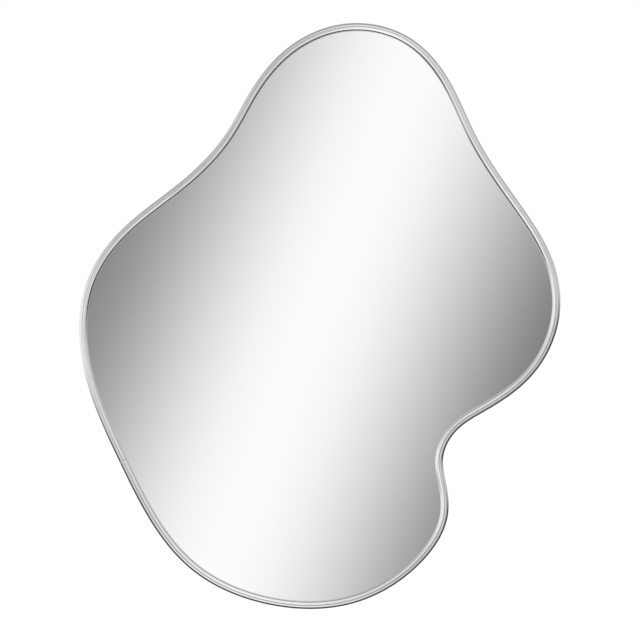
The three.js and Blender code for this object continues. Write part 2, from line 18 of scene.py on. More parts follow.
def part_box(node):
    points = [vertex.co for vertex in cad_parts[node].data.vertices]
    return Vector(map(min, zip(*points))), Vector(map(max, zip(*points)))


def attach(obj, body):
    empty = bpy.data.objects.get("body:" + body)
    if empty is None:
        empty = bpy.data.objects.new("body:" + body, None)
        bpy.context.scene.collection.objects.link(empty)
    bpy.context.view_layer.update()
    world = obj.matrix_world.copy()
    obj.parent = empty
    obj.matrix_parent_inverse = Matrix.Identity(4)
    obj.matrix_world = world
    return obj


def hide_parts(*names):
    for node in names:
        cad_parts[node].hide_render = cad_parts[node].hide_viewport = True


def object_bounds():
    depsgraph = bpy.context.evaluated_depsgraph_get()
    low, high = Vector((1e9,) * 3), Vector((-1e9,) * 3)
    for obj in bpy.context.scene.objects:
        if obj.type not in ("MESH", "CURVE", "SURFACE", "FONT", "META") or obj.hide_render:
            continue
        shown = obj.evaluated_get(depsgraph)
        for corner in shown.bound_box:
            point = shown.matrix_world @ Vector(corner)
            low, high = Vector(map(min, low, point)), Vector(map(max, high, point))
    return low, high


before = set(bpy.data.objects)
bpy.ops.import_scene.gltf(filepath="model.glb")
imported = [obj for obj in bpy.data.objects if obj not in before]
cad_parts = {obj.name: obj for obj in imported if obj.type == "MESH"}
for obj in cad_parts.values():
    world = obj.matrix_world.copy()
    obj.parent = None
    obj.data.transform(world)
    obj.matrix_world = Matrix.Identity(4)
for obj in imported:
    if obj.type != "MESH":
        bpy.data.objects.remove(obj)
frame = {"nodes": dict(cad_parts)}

bl_info = {
    "name": "Irregular wall mirror",
    "version": (1, 0, 0),
    "blender": (4, 5, 0),
    "location": "3D View > Sidebar > Mirror",
    "description": "Makes a wall mirror in a bent metal rail, with its board, fixings and hangers",
    "category": "Object",
}

CAD_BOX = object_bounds()
MM = 0.001
# The spacing of the points along the rail and along the edges of the flat layers.
EDGE_STEP = 2.4 * MM
PAN_SCREWS = ("clip_screw", "hanger_screw")

# Points on the rail's outer edge in millimetres, across and up, clockwise from the seam.
OUTLINE_KNOTS = (
    (-291, -212), (-327, -131), (-349, -39), (-337, 55), (-289, 125), (-205, 193), (-136, 266),
    (-102, 325), (-51, 386), (36, 424), (133, 402), (187, 343), (228, 259), (291, 162), (340, 75),
    (347, -5), (308, -86), (241, -137), (195, -170), (179, -206), (183, -240), (186, -288),
    (143, -361), (49, -416), (-75, -418), (-191, -364), (-253, -286),
)


# ---- Settings ---------------------------------------------------------------------------------------


def length(name, description, millimetres):
    return FloatProperty(
        name=name, description=description, default=millimetres * MM, min=0, precision=5, unit="LENGTH"
    )


def colour(name, description, value):
    return FloatVectorProperty(
        name=name, description=description, default=value, size=4, min=0, max=1, subtype="COLOR"
    )


def share(name, description, value):
    return FloatProperty(name=name, description=description, default=value, min=0, max=1, subtype="FACTOR")


class RailSettings(PropertyGroup):
    face_width: length("Face width", "From the outer edge to the inner edge, seen from the front", 11.5)
    flange: length("Flange", "From the front of the rail to the seat of the glass", 5.4)
    wall: length("Wall", "Thickness of the rail's outer wall", 1.6)
    lip_width: length("Lip width", "Width of the rear lip, from the outer edge", 5.0)
    lip: length("Lip", "Thickness of the rear lip", 1.6)
    shoulder: length("Shoulder", "Radius of the round outer shoulder", 4.6)
    bead: length("Bead", "Radius of the inner bead", 2.9)
    crown: length("Crown", "How far the middle of the face stands proud of its sides", 0.25)
    crown_start: length("Crown start", "From the outer edge to the crown of the face", 4.2)
    crown_end: length("Crown end", "From the outer edge to the far side of the crown", 8.6)
    groove_at: length("Groove place", "From the outer edge to the bottom of the groove", 5.3)
    groove_step: length("Groove step", "Width of the groove's steep side, next to the shoulder", 0.7)
    groove_rise: length("Groove rise", "Width of the groove's gentle side, next to the bead", 1.8)
    groove_depth: length("Groove depth", "Depth of the groove between shoulder and bead", 0.48)
    rear_rounding: length("Rear rounding", "Radius of the outer rear edge", 0.8)
    bend: length("Inner bends", "Radius of the bends inside the rail", 0.5)
    arris: length("Arris", "Radius of the rail's small edges", 0.25)
    seam_gap: length("Seam gap", "Gap between the rail's two ends", 0.12)
    seam_ease: length("Seam ease", "Rounding of the rail's two ends", 0.3)
    metal: colour("Metal", "Colour of the polished rail", (0.93, 0.932, 0.935, 1))
    roughness: share("Roughness", "Roughness of the polished rail", 0.07)


class PaneSettings(PropertyGroup):
    inset: length("Inset", "From the rail's outer edge to the edge of the pane", 5.6)
    arris: length("Arris", "Width of the pane's ground edges", 0.4)
    tape_margin: length("Tape margin", "From the glazing tape to the edges next to it", 0.8)
    strip_rounding: length("Strip rounding", "Radius of the mounting strips' corners", 1.5)
    silver: colour("Silver", "Colour of the silvered face", (0.965, 0.97, 0.968, 1))
    glass_edge: colour("Glass edge", "Colour of the pane's ground edge", (0.2, 0.42, 0.34, 1))
    film: colour("Film", "Colour of the safety film", (0.35, 0.45, 0.5, 1))
    foam: colour("Foam", "Colour of the foam tapes", (0.82, 0.82, 0.79, 1))


class BoardSettings(PropertyGroup):
    arris: length("Arris", "Rounding of the board's edges", 0.5)
    face: colour("Face", "Colour of the sanded face", (0.42, 0.27, 0.155, 1))
    fibre: colour("Fibre", "Colour of the darker fibres", (0.2, 0.115, 0.06, 1))
    pilot_hole: length("Pilot hole", "Radius of the board's pilot holes", 1.58)


class FixingSettings(PropertyGroup):
    clips: IntProperty(name="Clips", description="Retaining clips round the rail", default=10, min=2)
    clip_width: length("Clip width", "Width of a retaining clip", 16.0)
    clip_sheet: length("Clip sheet", "Thickness of a clip's sheet", 1.2)
    clip_foot: length("Clip foot", "Length of a clip's foot on the board", 20.0)
    clip_bend: length("Clip bend", "Inner radius of a clip's bends", 0.5)
    foot_corner: length("Foot corner", "Radius of the corners of a clip's foot", 3.0)
    riser_clearance: length("Riser clearance", "From the lip's edge to a clip's riser", 0.4)
    toe_clearance: length("Toe clearance", "From a clip's toe to the rail's wall", 0.8)
    toe_gap: length("Toe gap", "From a clip's toe to the lip behind it", 0.1)
    shank: length("Shank", "Radius of a screw's shank", 1.45)
    head: length("Head", "Radius of a screw's head", 2.9)
    head_height: length("Head height", "Height of a screw's head", 1.8)
    recess: length("Recess", "Half the width of the cross in a screw's head", 1.55)
    recess_arm: length("Recess arm", "Width of each arm of the cross", 0.62)
    thread: length("Thread", "Depth of a screw's thread", 0.22)
    pitch: length("Pitch", "From one turn of a screw's thread to the next", 0.9)
    flush_head: length("Flush head", "Radius of a countersunk head", 2.7)
    flush_depth: length("Flush depth", "Depth of a countersunk head", 1.3)
    play: length("Play", "From a screw to the hole that it passes through", 0.25)
    joiner_reach: length("Joiner reach", "From the seam to an end of its joiner", 32.0)
    joiner_sheet: length("Joiner sheet", "Thickness of the joiner", 2.2)
    joiner_gap: length("Joiner gap", "From the rail's wall to the joiner", 0.15)
    joiner_screws: length("Joiner screws", "From the seam to the joiner's screws", 19.0)
    joiner_bite: length("Joiner bite", "How far the joiner's screws reach into the rail's wall", 0.9)
    turn_seed: IntProperty(name="Turn seed", description="Seed for how far each screw is turned", default=7)
    zinc: colour("Zinc", "Colour of the zinc-plated steel", (0.57, 0.59, 0.61, 1))
    zinc_dull: colour("Dull zinc", "Colour of the duller patches", (0.38, 0.395, 0.41, 1))


class HangerSettings(PropertyGroup):
    wire: length("Wire", "Radius of the rings' wire", 1.5)
    ring_width: length("Ring width", "Between the centre lines of a ring's sides", 21.0)
    ring_height: length("Ring height", "From a ring's bar to the top of its bow", 17.0)
    ring_corner: length("Ring corner", "Radius of a ring's lower corners", 3.0)
    eye_clearance: length("Eye clearance", "From the wire to the strap's eye", 0.3)
    eye_wrap: FloatProperty(
        name="Eye wrap",
        description="Angle at which the curl ends",
        default=math.radians(200),
        subtype="ANGLE",
    )
    strap: length("Strap", "Thickness of a hanger strap", 1.2)
    strap_width: length("Strap width", "Width of a hanger strap", 13.0)
    strap_length: length("Strap length", "From the pivot to a strap's round end", 40.0)
    upper_screw: length("Upper screw", "From the pivot to the upper screw", 10.5)
    end_screw: length("End screw", "From the lower screw to the strap's round end", 9.0)
    edge: length("Edge", "Rounding of the punched edges", 0.15)


class BumperSettings(PropertyGroup):
    draft: length("Draft", "How much smaller a bumper's radius is at the rear", 0.4)
    rounding: length("Rounding", "Radius of a bumper's rear edge", 0.8)
    dish: length("Dish", "Depth of the dish in a bumper's rear face", 0.35)
    rubber: colour("Rubber", "Colour of the bumpers", (0.035, 0.035, 0.037, 1))


class StageSettings(PropertyGroup):
    camera_distance: length("Camera distance", "From the camera to the front of the rail", 2800.0)
    view_width: length("View width", "Width of the picture at the mirror's edge", 927.7)
    view_shift: length("View height", "Height of the camera above the mirror's middle", -5.8)
    camera_shift: length("Camera shift", "Sideways place of the camera", 0.3)
    floor_drop: length("Floor drop", "From the mirror's lowest point to the floor", 175.0)
    floor_reach: length("Floor reach", "From the middle of the floor to its edges", 9000.0)
    floor: colour("Floor", "Colour of the floor", (0.82, 0.82, 0.82, 1))
    light: FloatProperty(name="Light", description="Strength of the even light", default=0.62, min=0)
    lamp: FloatProperty(name="Lamp", description="Power of each soft lamp", default=26, min=0, unit="POWER")
    lamp_size: length("Lamp size", "Width of each soft lamp", 1600.0)


# ---- Curves and meshes ------------------------------------------------------------------------------


def closed_curve(knots, steps, rounds=60):
    """Points of the smooth closed curve through the knots, its bend made even at each knot in rounds."""
    count = len(knots)
    knots = [Vector(knot) for knot in knots]
    spans = [(knots[(i + 1) % count] - knots[i]).length for i in range(count)]
    tangents = [Vector((0, 0)) for _ in knots]
    for _ in range(rounds):
        for i in range(count):
            before, after = i - 1, (i + 1) % count
            slope_in = (knots[i] - knots[before]) / spans[before]
            slope_out = (knots[after] - knots[i]) / spans[i]
            pull = spans[i] * slope_in + spans[before] * slope_out
            neighbours = spans[i] * tangents[before] + spans[before] * tangents[after]
            tangents[i] = (3 * pull - neighbours) / (2 * (spans[before] + spans[i]))
    points = []
    for i in range(count):
        after = (i + 1) % count
        for step in range(steps):
            t = step / steps
            points.append(
                (2 * t**3 - 3 * t**2 + 1) * knots[i]
                + (t**3 - 2 * t**2 + t) * spans[i] * tangents[i]
                + (3 * t**2 - 2 * t**3) * knots[after]
                + (t**3 - t**2) * spans[i] * tangents[after]
            )
    return points


class Outline:
    """The rail's outer edge in metres, measured along from the seam."""

    def __init__(self):
        low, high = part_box("frame_rail")
        points = closed_curve(OUTLINE_KNOTS, 48)
        fitted = []
        for axis, (a, b) in enumerate(((low.x, high.x), (low.z, high.z))):
            values = [point[axis] for point in points]
            scale = (b - a) / (max(values) - min(values))
            fitted.append([a + (value - min(values)) * scale for value in values])
        self.points = [Vector(pair) for pair in zip(*fitted)]
        self.at = [0.0]
        for i, point in enumerate(self.points):
            ahead = self.points[(i + 1) % len(self.points)]
            self.at.append(self.at[-1] + (ahead - point).length)
        self.total = self.at[-1]

    def place(self, distance):
        """The point at a distance along, and the direction straight inward from it."""
        distance %= self.total
        low, high = 0, len(self.points)
        while high - low > 1:
            middle = (low + high) // 2
            low, high = (middle, high) if self.at[middle] <= distance else (low, middle)
        count = len(self.points)
        share_on = (distance - self.at[low]) / (self.at[low + 1] - self.at[low])
        here, ahead = self.points[low], self.points[(low + 1) % count]
        before, beyond = self.points[low - 1], self.points[(low + 2) % count]
        along = ((ahead - before).normalized()).lerp((beyond - here).normalized(), share_on).normalized()
        return here.lerp(ahead, share_on), Vector((along.y, -along.x))

    def stretch(self, start, end, spacing, ease=0.0):
        """Points from one distance to another, about the given spacing apart, and closer within ease."""
        rings = 5 if ease else 0
        rim = [ease * (1 - math.cos(math.pi / 2 * i / rings)) for i in range(rings)]
        low, high = start + ease, end - ease
        steps = max(2, round((high - low) / spacing))
        even = [low + (high - low) * i / steps for i in range(steps + 1)]
        along = [start + gap for gap in rim] + even + [end - gap for gap in reversed(rim)]
        return [self.place(distance)[0] for distance in along]

    def inside(self, inset, spacing):
        """The closed line that runs at an inset from the outer edge."""
        steps = round(self.total / spacing)
        places = [self.place(self.total * i / steps) for i in range(steps)]
        return [point + inward * inset for point, inward in places]


def arc(centre, radius, start, end, steps):
    """Points on an arc between two angles in radians."""
    angles = [start + (end - start) * i / steps for i in range(steps + 1)]
    return [(centre[0] + radius * math.cos(a), centre[1] + radius * math.sin(a)) for a in angles]


def circle(centre, radius, steps):
    """Points on a whole circle."""
    return arc(centre, radius, 0, 2 * math.pi, steps)[:-1]


def rounded(corners, guard=0):
    """The polygon through the corners, each given as (x, y, radius, steps), with the corners rounded.

    A guard is a point that far outside an arc, where there is room: it keeps the flats flat in shading."""
    points = []
    for i, (x, y, radius, steps) in enumerate(corners):
        corner = Vector((x, y))
        if radius <= 0:
            points.append(corner)
            continue
        to_last = Vector(corners[i - 1][:2]) - corner
        to_next = Vector(corners[(i + 1) % len(corners)][:2]) - corner
        back, ahead = to_last.normalized(), to_next.normalized()
        half = back.angle(ahead) / 2
        reach = radius / math.tan(half)
        centre = corner + (back + ahead).normalized() * radius / math.sin(half)
        start, end = corner + back * reach - centre, corner + ahead * reach - centre
        if guard and to_last.length > reach + 2 * guard:
            points.append(corner + back * (reach + guard))
        turn = math.atan2(start.x * end.y - start.y * end.x, start.dot(end))
        for step in range(steps + 1):
            points.append(centre + Matrix.Rotation(turn * step / steps, 2) @ start)
        if guard and to_next.length > reach + 2 * guard:
            points.append(corner + ahead * (reach + guard))
    kept = [point for i, point in enumerate(points) if (point - points[i - 1]).length > 1e-6]
    return [tuple(point) for point in kept]


def rounded_box(low, high, radius, steps=2):
    """A rounded oblong between two corners."""
    (left, bottom), (right, top) = low, high
    corners = ((left, bottom), (right, bottom), (right, top), (left, top))
    return rounded([(*corner, radius, steps) for corner in corners])


def line_object(name, points, closed):
    """A curve object through points of the X-Y plane, for a tree to read."""
    curve = bpy.data.curves.new(name, "CURVE")
    curve.dimensions = "3D"
    curve.twist_mode = "Z_UP"
    spline = curve.splines.new("POLY")
    spline.points.add(len(points) - 1)
    for point, (x, y) in zip(spline.points, points):
        point.co = (x, y, 0, 1)
    spline.use_cyclic_u = closed
    return linked(name, curve)


def linked(name, data):
    """A new object in the scene, for its data."""
    made = bpy.data.objects.new(name, data)
    bpy.context.scene.collection.objects.link(made)
    return made


def mesh_from(name, shape):
    """A mesh object from a bmesh, with its faces turned outward."""
    bmesh.ops.remove_doubles(shape, verts=shape.verts, dist=1e-7)
    bmesh.ops.recalc_face_normals(shape, faces=shape.faces)
    mesh = bpy.data.meshes.new(name)
    shape.to_mesh(mesh)
    shape.free()
    return linked(name, mesh)


def walled(shape, rows):
    """Faces between rows of vertices, with three sides where a row is one point."""
    for below, above in zip(rows, rows[1:]):
        for i in range(len(below)):
            j = (i + 1) % len(below)
            shape.faces.new(list(dict.fromkeys((below[i], below[j], above[j], above[i]))))


def lofted(name, rings):
    """A closed solid through rings of as many points each, with a flat face on the first and last."""
    shape = bmesh.new()
    rows = [[shape.verts.new(point) for point in ring] for ring in rings]
    walled(shape, rows)
    shape.faces.new(rows[0])
    shape.faces.new(rows[-1])
    return mesh_from(name, shape)


def turned(name, profile, sides):
    """A solid turned about the Y axis from (radius, y) points, the first and last on the axis."""
    shape = bmesh.new()
    rows = []
    for radius, y in profile:
        if radius == 0:
            rows.append([shape.verts.new((0, y, 0))] * sides)
            continue
        rows.append([shape.verts.new((x, y, z)) for x, z in circle((0, 0), radius, sides)])
    walled(shape, rows)
    return mesh_from(name, shape)


def prism(name, outline, low, high, axis):
    """A solid with the outline as its ends, from low to high along an axis, the other two in order."""
    rings = [[(*point[:axis], height, *point[axis:]) for point in outline] for height in (low, high)]
    return lofted(name, rings)


def applied(piece):
    """Puts what the piece's modifiers make into its mesh, and drops them."""
    graph = bpy.context.evaluated_depsgraph_get()
    mesh = bpy.data.meshes.new_from_object(piece.evaluated_get(graph), depsgraph=graph)
    piece.modifiers.clear()
    older, piece.data = piece.data, mesh
    bpy.data.meshes.remove(older)
    return piece


def carved(piece, tools, operation="DIFFERENCE"):
    """Cuts the piece by the tools, or to them, at a thousand times its size, and removes them."""
    big = Matrix.Scale(1 / MM, 4)
    piece.data.transform(big)
    for tool in tools:
        tool.data.transform(big)
        cut = piece.modifiers.new("Cut", "BOOLEAN")
        cut.operation, cut.object, cut.solver = operation, tool, "EXACT"
    applied(piece)
    for tool in tools:
        bpy.data.objects.remove(tool)
    piece.data.transform(Matrix.Scale(MM, 4))
    return piece


def eased(piece, width, angle=50):
    """Rounds the piece's edges that turn more than the angle."""
    bevel = piece.modifiers.new("Ease", "BEVEL")
    bevel.width, bevel.segments = width, 2
    bevel.limit_method, bevel.angle_limit = "ANGLE", math.radians(angle)
    return applied(piece)


def smoothed(piece, angle=35):
    """Smooth shading, with a crease where two faces meet at more than the angle."""
    piece.data.shade_smooth()
    piece.data.set_sharp_from_angle(angle=math.radians(angle))
    return piece


# ---- Node trees -------------------------------------------------------------------------------------


def put(tree, kind, settings=None, inputs=None):
    """A new node, with its settings, and its inputs set to values or joined to other sockets."""
    node = tree.nodes.new(kind)
    for name, value in (settings or {}).items():
        setattr(node, name, value)
    for name, value in (inputs or {}).items():
        if isinstance(value, bpy.types.NodeSocket):
            tree.links.new(value, node.inputs[name])
        else:
            node.inputs[name].default_value = value
    return node


def calc(tree, operation, first, second=0.0):
    """One step of arithmetic on two values."""
    return put(tree, "ShaderNodeMath", {"operation": operation}, {0: first, 1: second}).outputs[0]


def vector_calc(tree, operation, first, second=(0, 0, 0), scale=1.0):
    """One step of arithmetic on vectors. The first output is a vector and the second a value."""
    inputs = {0: first, 1: second, 3: scale}
    return put(tree, "ShaderNodeVectorMath", {"operation": operation}, inputs).outputs


def vector_of(tree, **parts):
    """A vector from its parts."""
    return put(tree, "ShaderNodeCombineXYZ", inputs=parts).outputs[0]


def built_once(name, kind, inputs, outputs):
    """Makes a function build its node group the first time only, with the named sockets."""

    def wrap(build):
        def group():
            if name in bpy.data.node_groups:
                return bpy.data.node_groups[name]
            made = bpy.data.node_groups.new(name, kind)
            for in_out, sockets in (("INPUT", inputs), ("OUTPUT", outputs)):
                for label, data, *default in sockets:
                    socket_type = "NodeSocket" + data
                    socket = made.interface.new_socket(label, in_out=in_out, socket_type=socket_type)
                    if default:
                        socket.default_value = default[0]
            build(made, made.nodes.new("NodeGroupInput").outputs, made.nodes.new("NodeGroupOutput").inputs)
            return made

        return group

    return wrap


def geometry_tree(name, *inputs):
    """The same for a tree that makes geometry and gives it a material."""
    shape = ("Geometry", "Geometry")
    return built_once(name, "GeometryNodeTree", (shape, *inputs, ("Material", "Material")), (shape,))


def shape_of(tree, helper):
    """The geometry of a helper object."""
    return put(tree, "GeometryNodeObjectInfo", inputs={"Object": helper}).outputs["Geometry"]


def finish_tree(tree, geometry, given, result):
    """Ends a tree. With a Front, what is drawn flat stands up in the X-Z plane, its front at that Y."""
    if "Front" in given:
        inputs = {"Translation": vector_of(tree, Y=given["Front"]), "Rotation": (math.pi / 2, 0, 0)}
        geometry = put(tree, "GeometryNodeTransform", inputs={"Geometry": geometry, **inputs}).outputs[0]
    real = put(tree, "GeometryNodeRealizeInstances", inputs={"Geometry": geometry}).outputs[0]
    painted = put(tree, "GeometryNodeSetMaterial", inputs={"Geometry": real, "Material": given["Material"]})
    tree.links.new(painted.outputs[0], result["Geometry"])


def copies_at(tree, points, rotation, given, result):
    """Ends a tree with a copy of its piece at each point."""
    inputs = {"Points": points, "Instance": shape_of(tree, given["Piece"]), "Rotation": rotation}
    copies = put(tree, "GeometryNodeInstanceOnPoints", inputs=inputs)
    finish_tree(tree, copies.outputs[0], given, result)


@geometry_tree(
    "Section along a path",
    ("Path", "Object"),
    ("Section", "Object"),
    ("Front", "Float", 0.0),
    ("Ease", "Float", 0.0),
)
def sweep_tree(tree, given, result):
    """A section carried along a path, its ends rounded over. "surface" holds the way along and around."""
    parameter = put(tree, "GeometryNodeSplineParameter")
    normal = put(tree, "GeometryNodeInputNormal")
    lines = []
    for label in ("Path", "Section"):
        capture = tree.nodes.new("GeometryNodeCaptureAttribute")
        capture.capture_items.new("FLOAT", "Length")
        capture.capture_items.new("VECTOR", "Normal")
        tree.links.new(shape_of(tree, given[label]), capture.inputs["Geometry"])
        tree.links.new(parameter.outputs["Length"], capture.inputs["Length"])
        tree.links.new(normal.outputs["Normal"], capture.inputs["Normal"])
        lines.append(capture.outputs)
    path, section = lines
    inputs = {"Curve": path["Geometry"], "Profile Curve": section["Geometry"], "Fill Caps": True}
    shell = put(tree, "GeometryNodeCurveToMesh", inputs=inputs).outputs[0]
    # Within Ease of an end the surface sinks along a quarter round, square to the section's edge.
    whole = put(tree, "GeometryNodeCurveLength", inputs={"Curve": path["Geometry"]}).outputs[0]
    to_end = calc(tree, "MINIMUM", path["Length"], calc(tree, "SUBTRACT", whole, path["Length"]))
    short = calc(tree, "MAXIMUM", calc(tree, "SUBTRACT", given["Ease"], to_end), 0.0)
    ease_squared, short_squared = (calc(tree, "POWER", value, 2.0) for value in (given["Ease"], short))
    rise = calc(tree, "SQRT", calc(tree, "SUBTRACT", ease_squared, short_squared))
    sink = calc(tree, "SUBTRACT", rise, given["Ease"])
    outward = put(tree, "ShaderNodeSeparateXYZ", inputs={0: section["Normal"]}).outputs
    sideways = vector_calc(tree, "SCALE", path["Normal"], scale=outward["X"])[0]
    back = vector_of(tree, Z=calc(tree, "MULTIPLY", outward["Y"], -1.0))
    offset = vector_calc(tree, "SCALE", vector_calc(tree, "ADD", sideways, back)[0], scale=sink)[0]
    sunk = put(tree, "GeometryNodeSetPosition", inputs={"Geometry": shell, "Offset": offset}).outputs[0]
    surface = vector_of(tree, X=path["Length"], Y=section["Length"])
    stored = put(
        tree,
        "GeometryNodeStoreNamedAttribute",
        {"data_type": "FLOAT_VECTOR", "domain": "POINT"},
        {"Geometry": sunk, "Name": "surface", "Value": surface},
    )
    finish_tree(tree, stored.outputs[0], given, result)


@geometry_tree(
    "Pieces round the edge",
    ("Line", "Object"),
    ("Piece", "Object"),
    ("Count", "Int", 10),
    ("Front", "Float", 0.0),
)
def round_edge_tree(tree, given, result):
    """Copies of a piece, evenly spaced along a closed line, each with its X axis pointing inward."""
    middle = calc(tree, "ADD", put(tree, "GeometryNodeInputIndex").outputs[0], 0.5)
    factor = calc(tree, "DIVIDE", middle, given["Count"])
    inputs = {"Curves": shape_of(tree, given["Line"]), "Factor": factor}
    spot = put(tree, "GeometryNodeSampleCurve", {"mode": "FACTOR"}, inputs).outputs
    axes = {"Primary Axis": spot["Normal"], "Secondary Axis": spot["Tangent"]}
    facing = put(tree, "FunctionNodeAxesToRotation", {"primary_axis": "X", "secondary_axis": "Y"}, axes)
    points = put(tree, "GeometryNodePoints", inputs={"Count": given["Count"], "Position": spot["Position"]})
    copies_at(tree, points.outputs[0], facing.outputs[0], given, result)


@geometry_tree("Pieces at places", ("Piece", "Object"), ("Turn", "Float", 0.0), ("Seed", "Int", 0))
def at_places_tree(tree, given, result):
    """A copy of a piece at each point of a mesh, each turned about the Y axis by its own angle."""
    chance = put(tree, "FunctionNodeRandomValue", {"data_type": "FLOAT"}, {"Seed": given["Seed"]})
    turn = vector_of(tree, Y=calc(tree, "MULTIPLY", chance.outputs[1], given["Turn"]))
    copies_at(tree, given["Geometry"], turn, given, result)


def grown(piece, tree, values, helpers=()):
    """Runs the tree on the piece, keeps the result as its plain mesh, and removes the helpers."""
    for helper in helpers:
        helper.data.materials.append(values["Material"])
    modifier = piece.modifiers.new(tree.name, "NODES")
    modifier.node_group = tree
    for item in tree.interface.items_tree:
        if item.in_out == "INPUT" and item.name in values:
            modifier[item.identifier] = values[item.name]
    applied(piece)
    if not piece.data.polygons:
        raise RuntimeError(f"{tree.name} made nothing for {piece.name}")
    for helper in helpers:
        bpy.data.objects.remove(helper)
    return piece


def swept(name, path, section, closed, front, material, ease=0.0):
    """A piece whose section runs along a path. An open path gets flat ends, rounded over by ease."""
    path = line_object(name + "_path", path, closed)
    section = line_object(name + "_section", section, True)
    piece = linked(name, bpy.data.meshes.new(name))
    values = {"Path": path, "Section": section, "Front": front, "Ease": ease, "Material": material}
    return grown(piece, sweep_tree(), values, (path, section))


def placed(name, part, places, material, turn=0.0, seed=0):
    """One piece made of a copy of the part at each place."""
    mesh = bpy.data.meshes.new(name)
    mesh.from_pydata(places, [], [])
    values = {"Piece": part, "Turn": turn, "Seed": seed, "Material": material}
    return grown(linked(name, mesh), at_places_tree(), values, (part,))


def seated(piece, name, slot, *nodes, body="mirror"):
    """Declares a finished piece: its name, in place of any older piece of that name, what it moves with,
    and the CAD nodes that it stands for. The slot, which names its finish, is not used."""
    older = bpy.data.objects.get(name)
    if older and older != piece:
        bpy.data.objects.remove(older)
    piece.name = name
    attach(piece, body)
    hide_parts(*nodes)


# ---- Finishes ---------------------------------------------------------------------------------------


def noise(tree, vector, scale, detail=3.0, roughness=0.5):
    """The value of a noise texture."""
    inputs = {"Vector": vector, "Scale": scale, "Detail": detail, "Roughness": roughness}
    return put(tree, "ShaderNodeTexNoise", inputs=inputs).outputs["Fac"]


def remap(tree, value, low, high, to_low, to_high, ease="LINEAR"):
    """A value moved from one range to another, and kept inside that one."""
    inputs = {"Value": value, "From Min": low, "From Max": high, "To Min": to_low, "To Max": to_high}
    return put(tree, "ShaderNodeMapRange", {"interpolation_type": ease}, inputs).outputs[0]


def mixed_value(tree, factor, first, second):
    """A value between two values."""
    return put(tree, "ShaderNodeMix", {"data_type": "FLOAT"}, {0: factor, 2: first, 3: second}).outputs[0]


def blended(tree, factor, first, second):
    """A colour between two colours."""
    inputs = {0: factor, 6: tuple(first), 7: tuple(second)}
    return put(tree, "ShaderNodeMix", {"data_type": "RGBA"}, inputs).outputs[2]


def shaded(base, factor):
    """A colour made darker or paler."""
    return [min(1, channel * factor) for channel in base[:3]] + [1]


@built_once(
    "Polishing lines",
    "ShaderNodeTree",
    (("Vector", "Vector"), ("Lines", "Float", 2600.0), ("Patches", "Float", 26.0)),
    (("Height", "Float"), ("Patches", "Float")),
)
def polish_group(group, given, result):
    """Fine polishing lines that run along X, over soft patches of use."""
    drawn_out = vector_calc(group, "MULTIPLY", given["Vector"], (0.02, 1.0, 1.0))[0]
    lines = noise(group, drawn_out, given["Lines"], detail=4.0, roughness=0.65)
    patches = noise(group, given["Vector"], given["Patches"], detail=4.0, roughness=0.6)
    group.links.new(lines, result["Height"])
    group.links.new(remap(group, patches, 0.35, 0.7, 0.0, 1.0), result["Patches"])


@built_once(
    "Grains and blotches",
    "ShaderNodeTree",
    (("Vector", "Vector"), ("Grains", "Float", 1500.0), ("Blotches", "Float", 12.0)),
    (("Grains", "Float"), ("Blotches", "Float")),
)
def speckle_group(group, given, result):
    """Fine grains and broad blotches, as on board, rubber, foam and dusty sheet."""
    for name, detail, margin in (("Grains", 2.0, 0.2), ("Blotches", 5.0, 0.15)):
        spots = noise(group, given["Vector"], given[name], detail, 0.6)
        group.links.new(remap(group, spots, 0.5 - margin, 0.5 + margin, 0.0, 1.0), result[name])


def effect(tree, group, vector, **scales):
    """The outputs of an effect, placed in a material with its own scales."""
    return put(tree, "ShaderNodeGroup", {"node_tree": group}, {"Vector": vector, **scales}).outputs


def material(name, values=None):
    """Makes a function build its material only once, on a Principled shader with these values."""

    def wrap(build):
        def finish(*settings):
            if name in bpy.data.materials:
                return bpy.data.materials[name]
            made = bpy.data.materials.new(name)
            made.use_nodes = True
            shader = made.node_tree.nodes["Principled BSDF"].inputs
            for socket, value in (values or {}).items():
                shader[socket].default_value = value
            build(made.node_tree, shader, *settings)
            return made

        return finish

    return wrap


def object_coords(tree):
    return put(tree, "ShaderNodeTexCoord").outputs["Object"]


def surface_coords(tree):
    return put(tree, "ShaderNodeAttribute", {"attribute_name": "surface"}).outputs["Vector"]


def dress(tree, shader, shade, roughness, height, strength, distance):
    """Joins a colour, a roughness, and a bump with a height, to a shader."""
    tree.links.new(shade, shader["Base Color"])
    tree.links.new(roughness, shader["Roughness"])
    inputs = {"Strength": strength, "Distance": distance, "Height": height}
    tree.links.new(put(tree, "ShaderNodeBump", inputs=inputs).outputs[0], shader["Normal"])


@material("Polished metal", {"Metallic": 1.0})
def polished_metal(tree, shader, rail):
    """The rail's finish: bright, with fine lines along it and faint wiping marks."""
    lines = effect(tree, polish_group(), surface_coords(tree))
    wear = calc(tree, "MULTIPLY", lines["Patches"], 0.5)
    shade = blended(tree, wear, rail.metal, shaded(rail.metal, 0.93))
    roughness = remap(tree, lines["Patches"], 0, 1, rail.roughness * 0.75, rail.roughness * 1.5)
    dress(tree, shader, shade, roughness, lines["Height"], strength=0.06, distance=0.1 * MM)


@material("Silvered glass", {"Metallic": 1.0, "Coat Weight": 1.0, "Coat Roughness": 0.01, "Coat IOR": 1.52})
def silvered_glass(tree, shader, pane):
    """The pane's face: silver behind clear float glass, with a trace of waviness and wiping marks."""
    coords = object_coords(tree)
    upright = vector_calc(tree, "MULTIPLY", coords, (1.0, 1.0, 0.35))[0]
    marks = noise(tree, upright, 9.0, detail=6.0, roughness=0.65)
    haze = remap(tree, marks, 0.5, 0.8, 0.0, 1.0)
    shade = blended(tree, haze, pane.silver, shaded(pane.silver, 0.985))
    roughness = remap(tree, marks, 0.45, 0.8, 0.004, 0.02)
    waves = noise(tree, coords, 5.0, detail=1.0)
    dress(tree, shader, shade, roughness, waves, strength=0.02, distance=0.5 * MM)


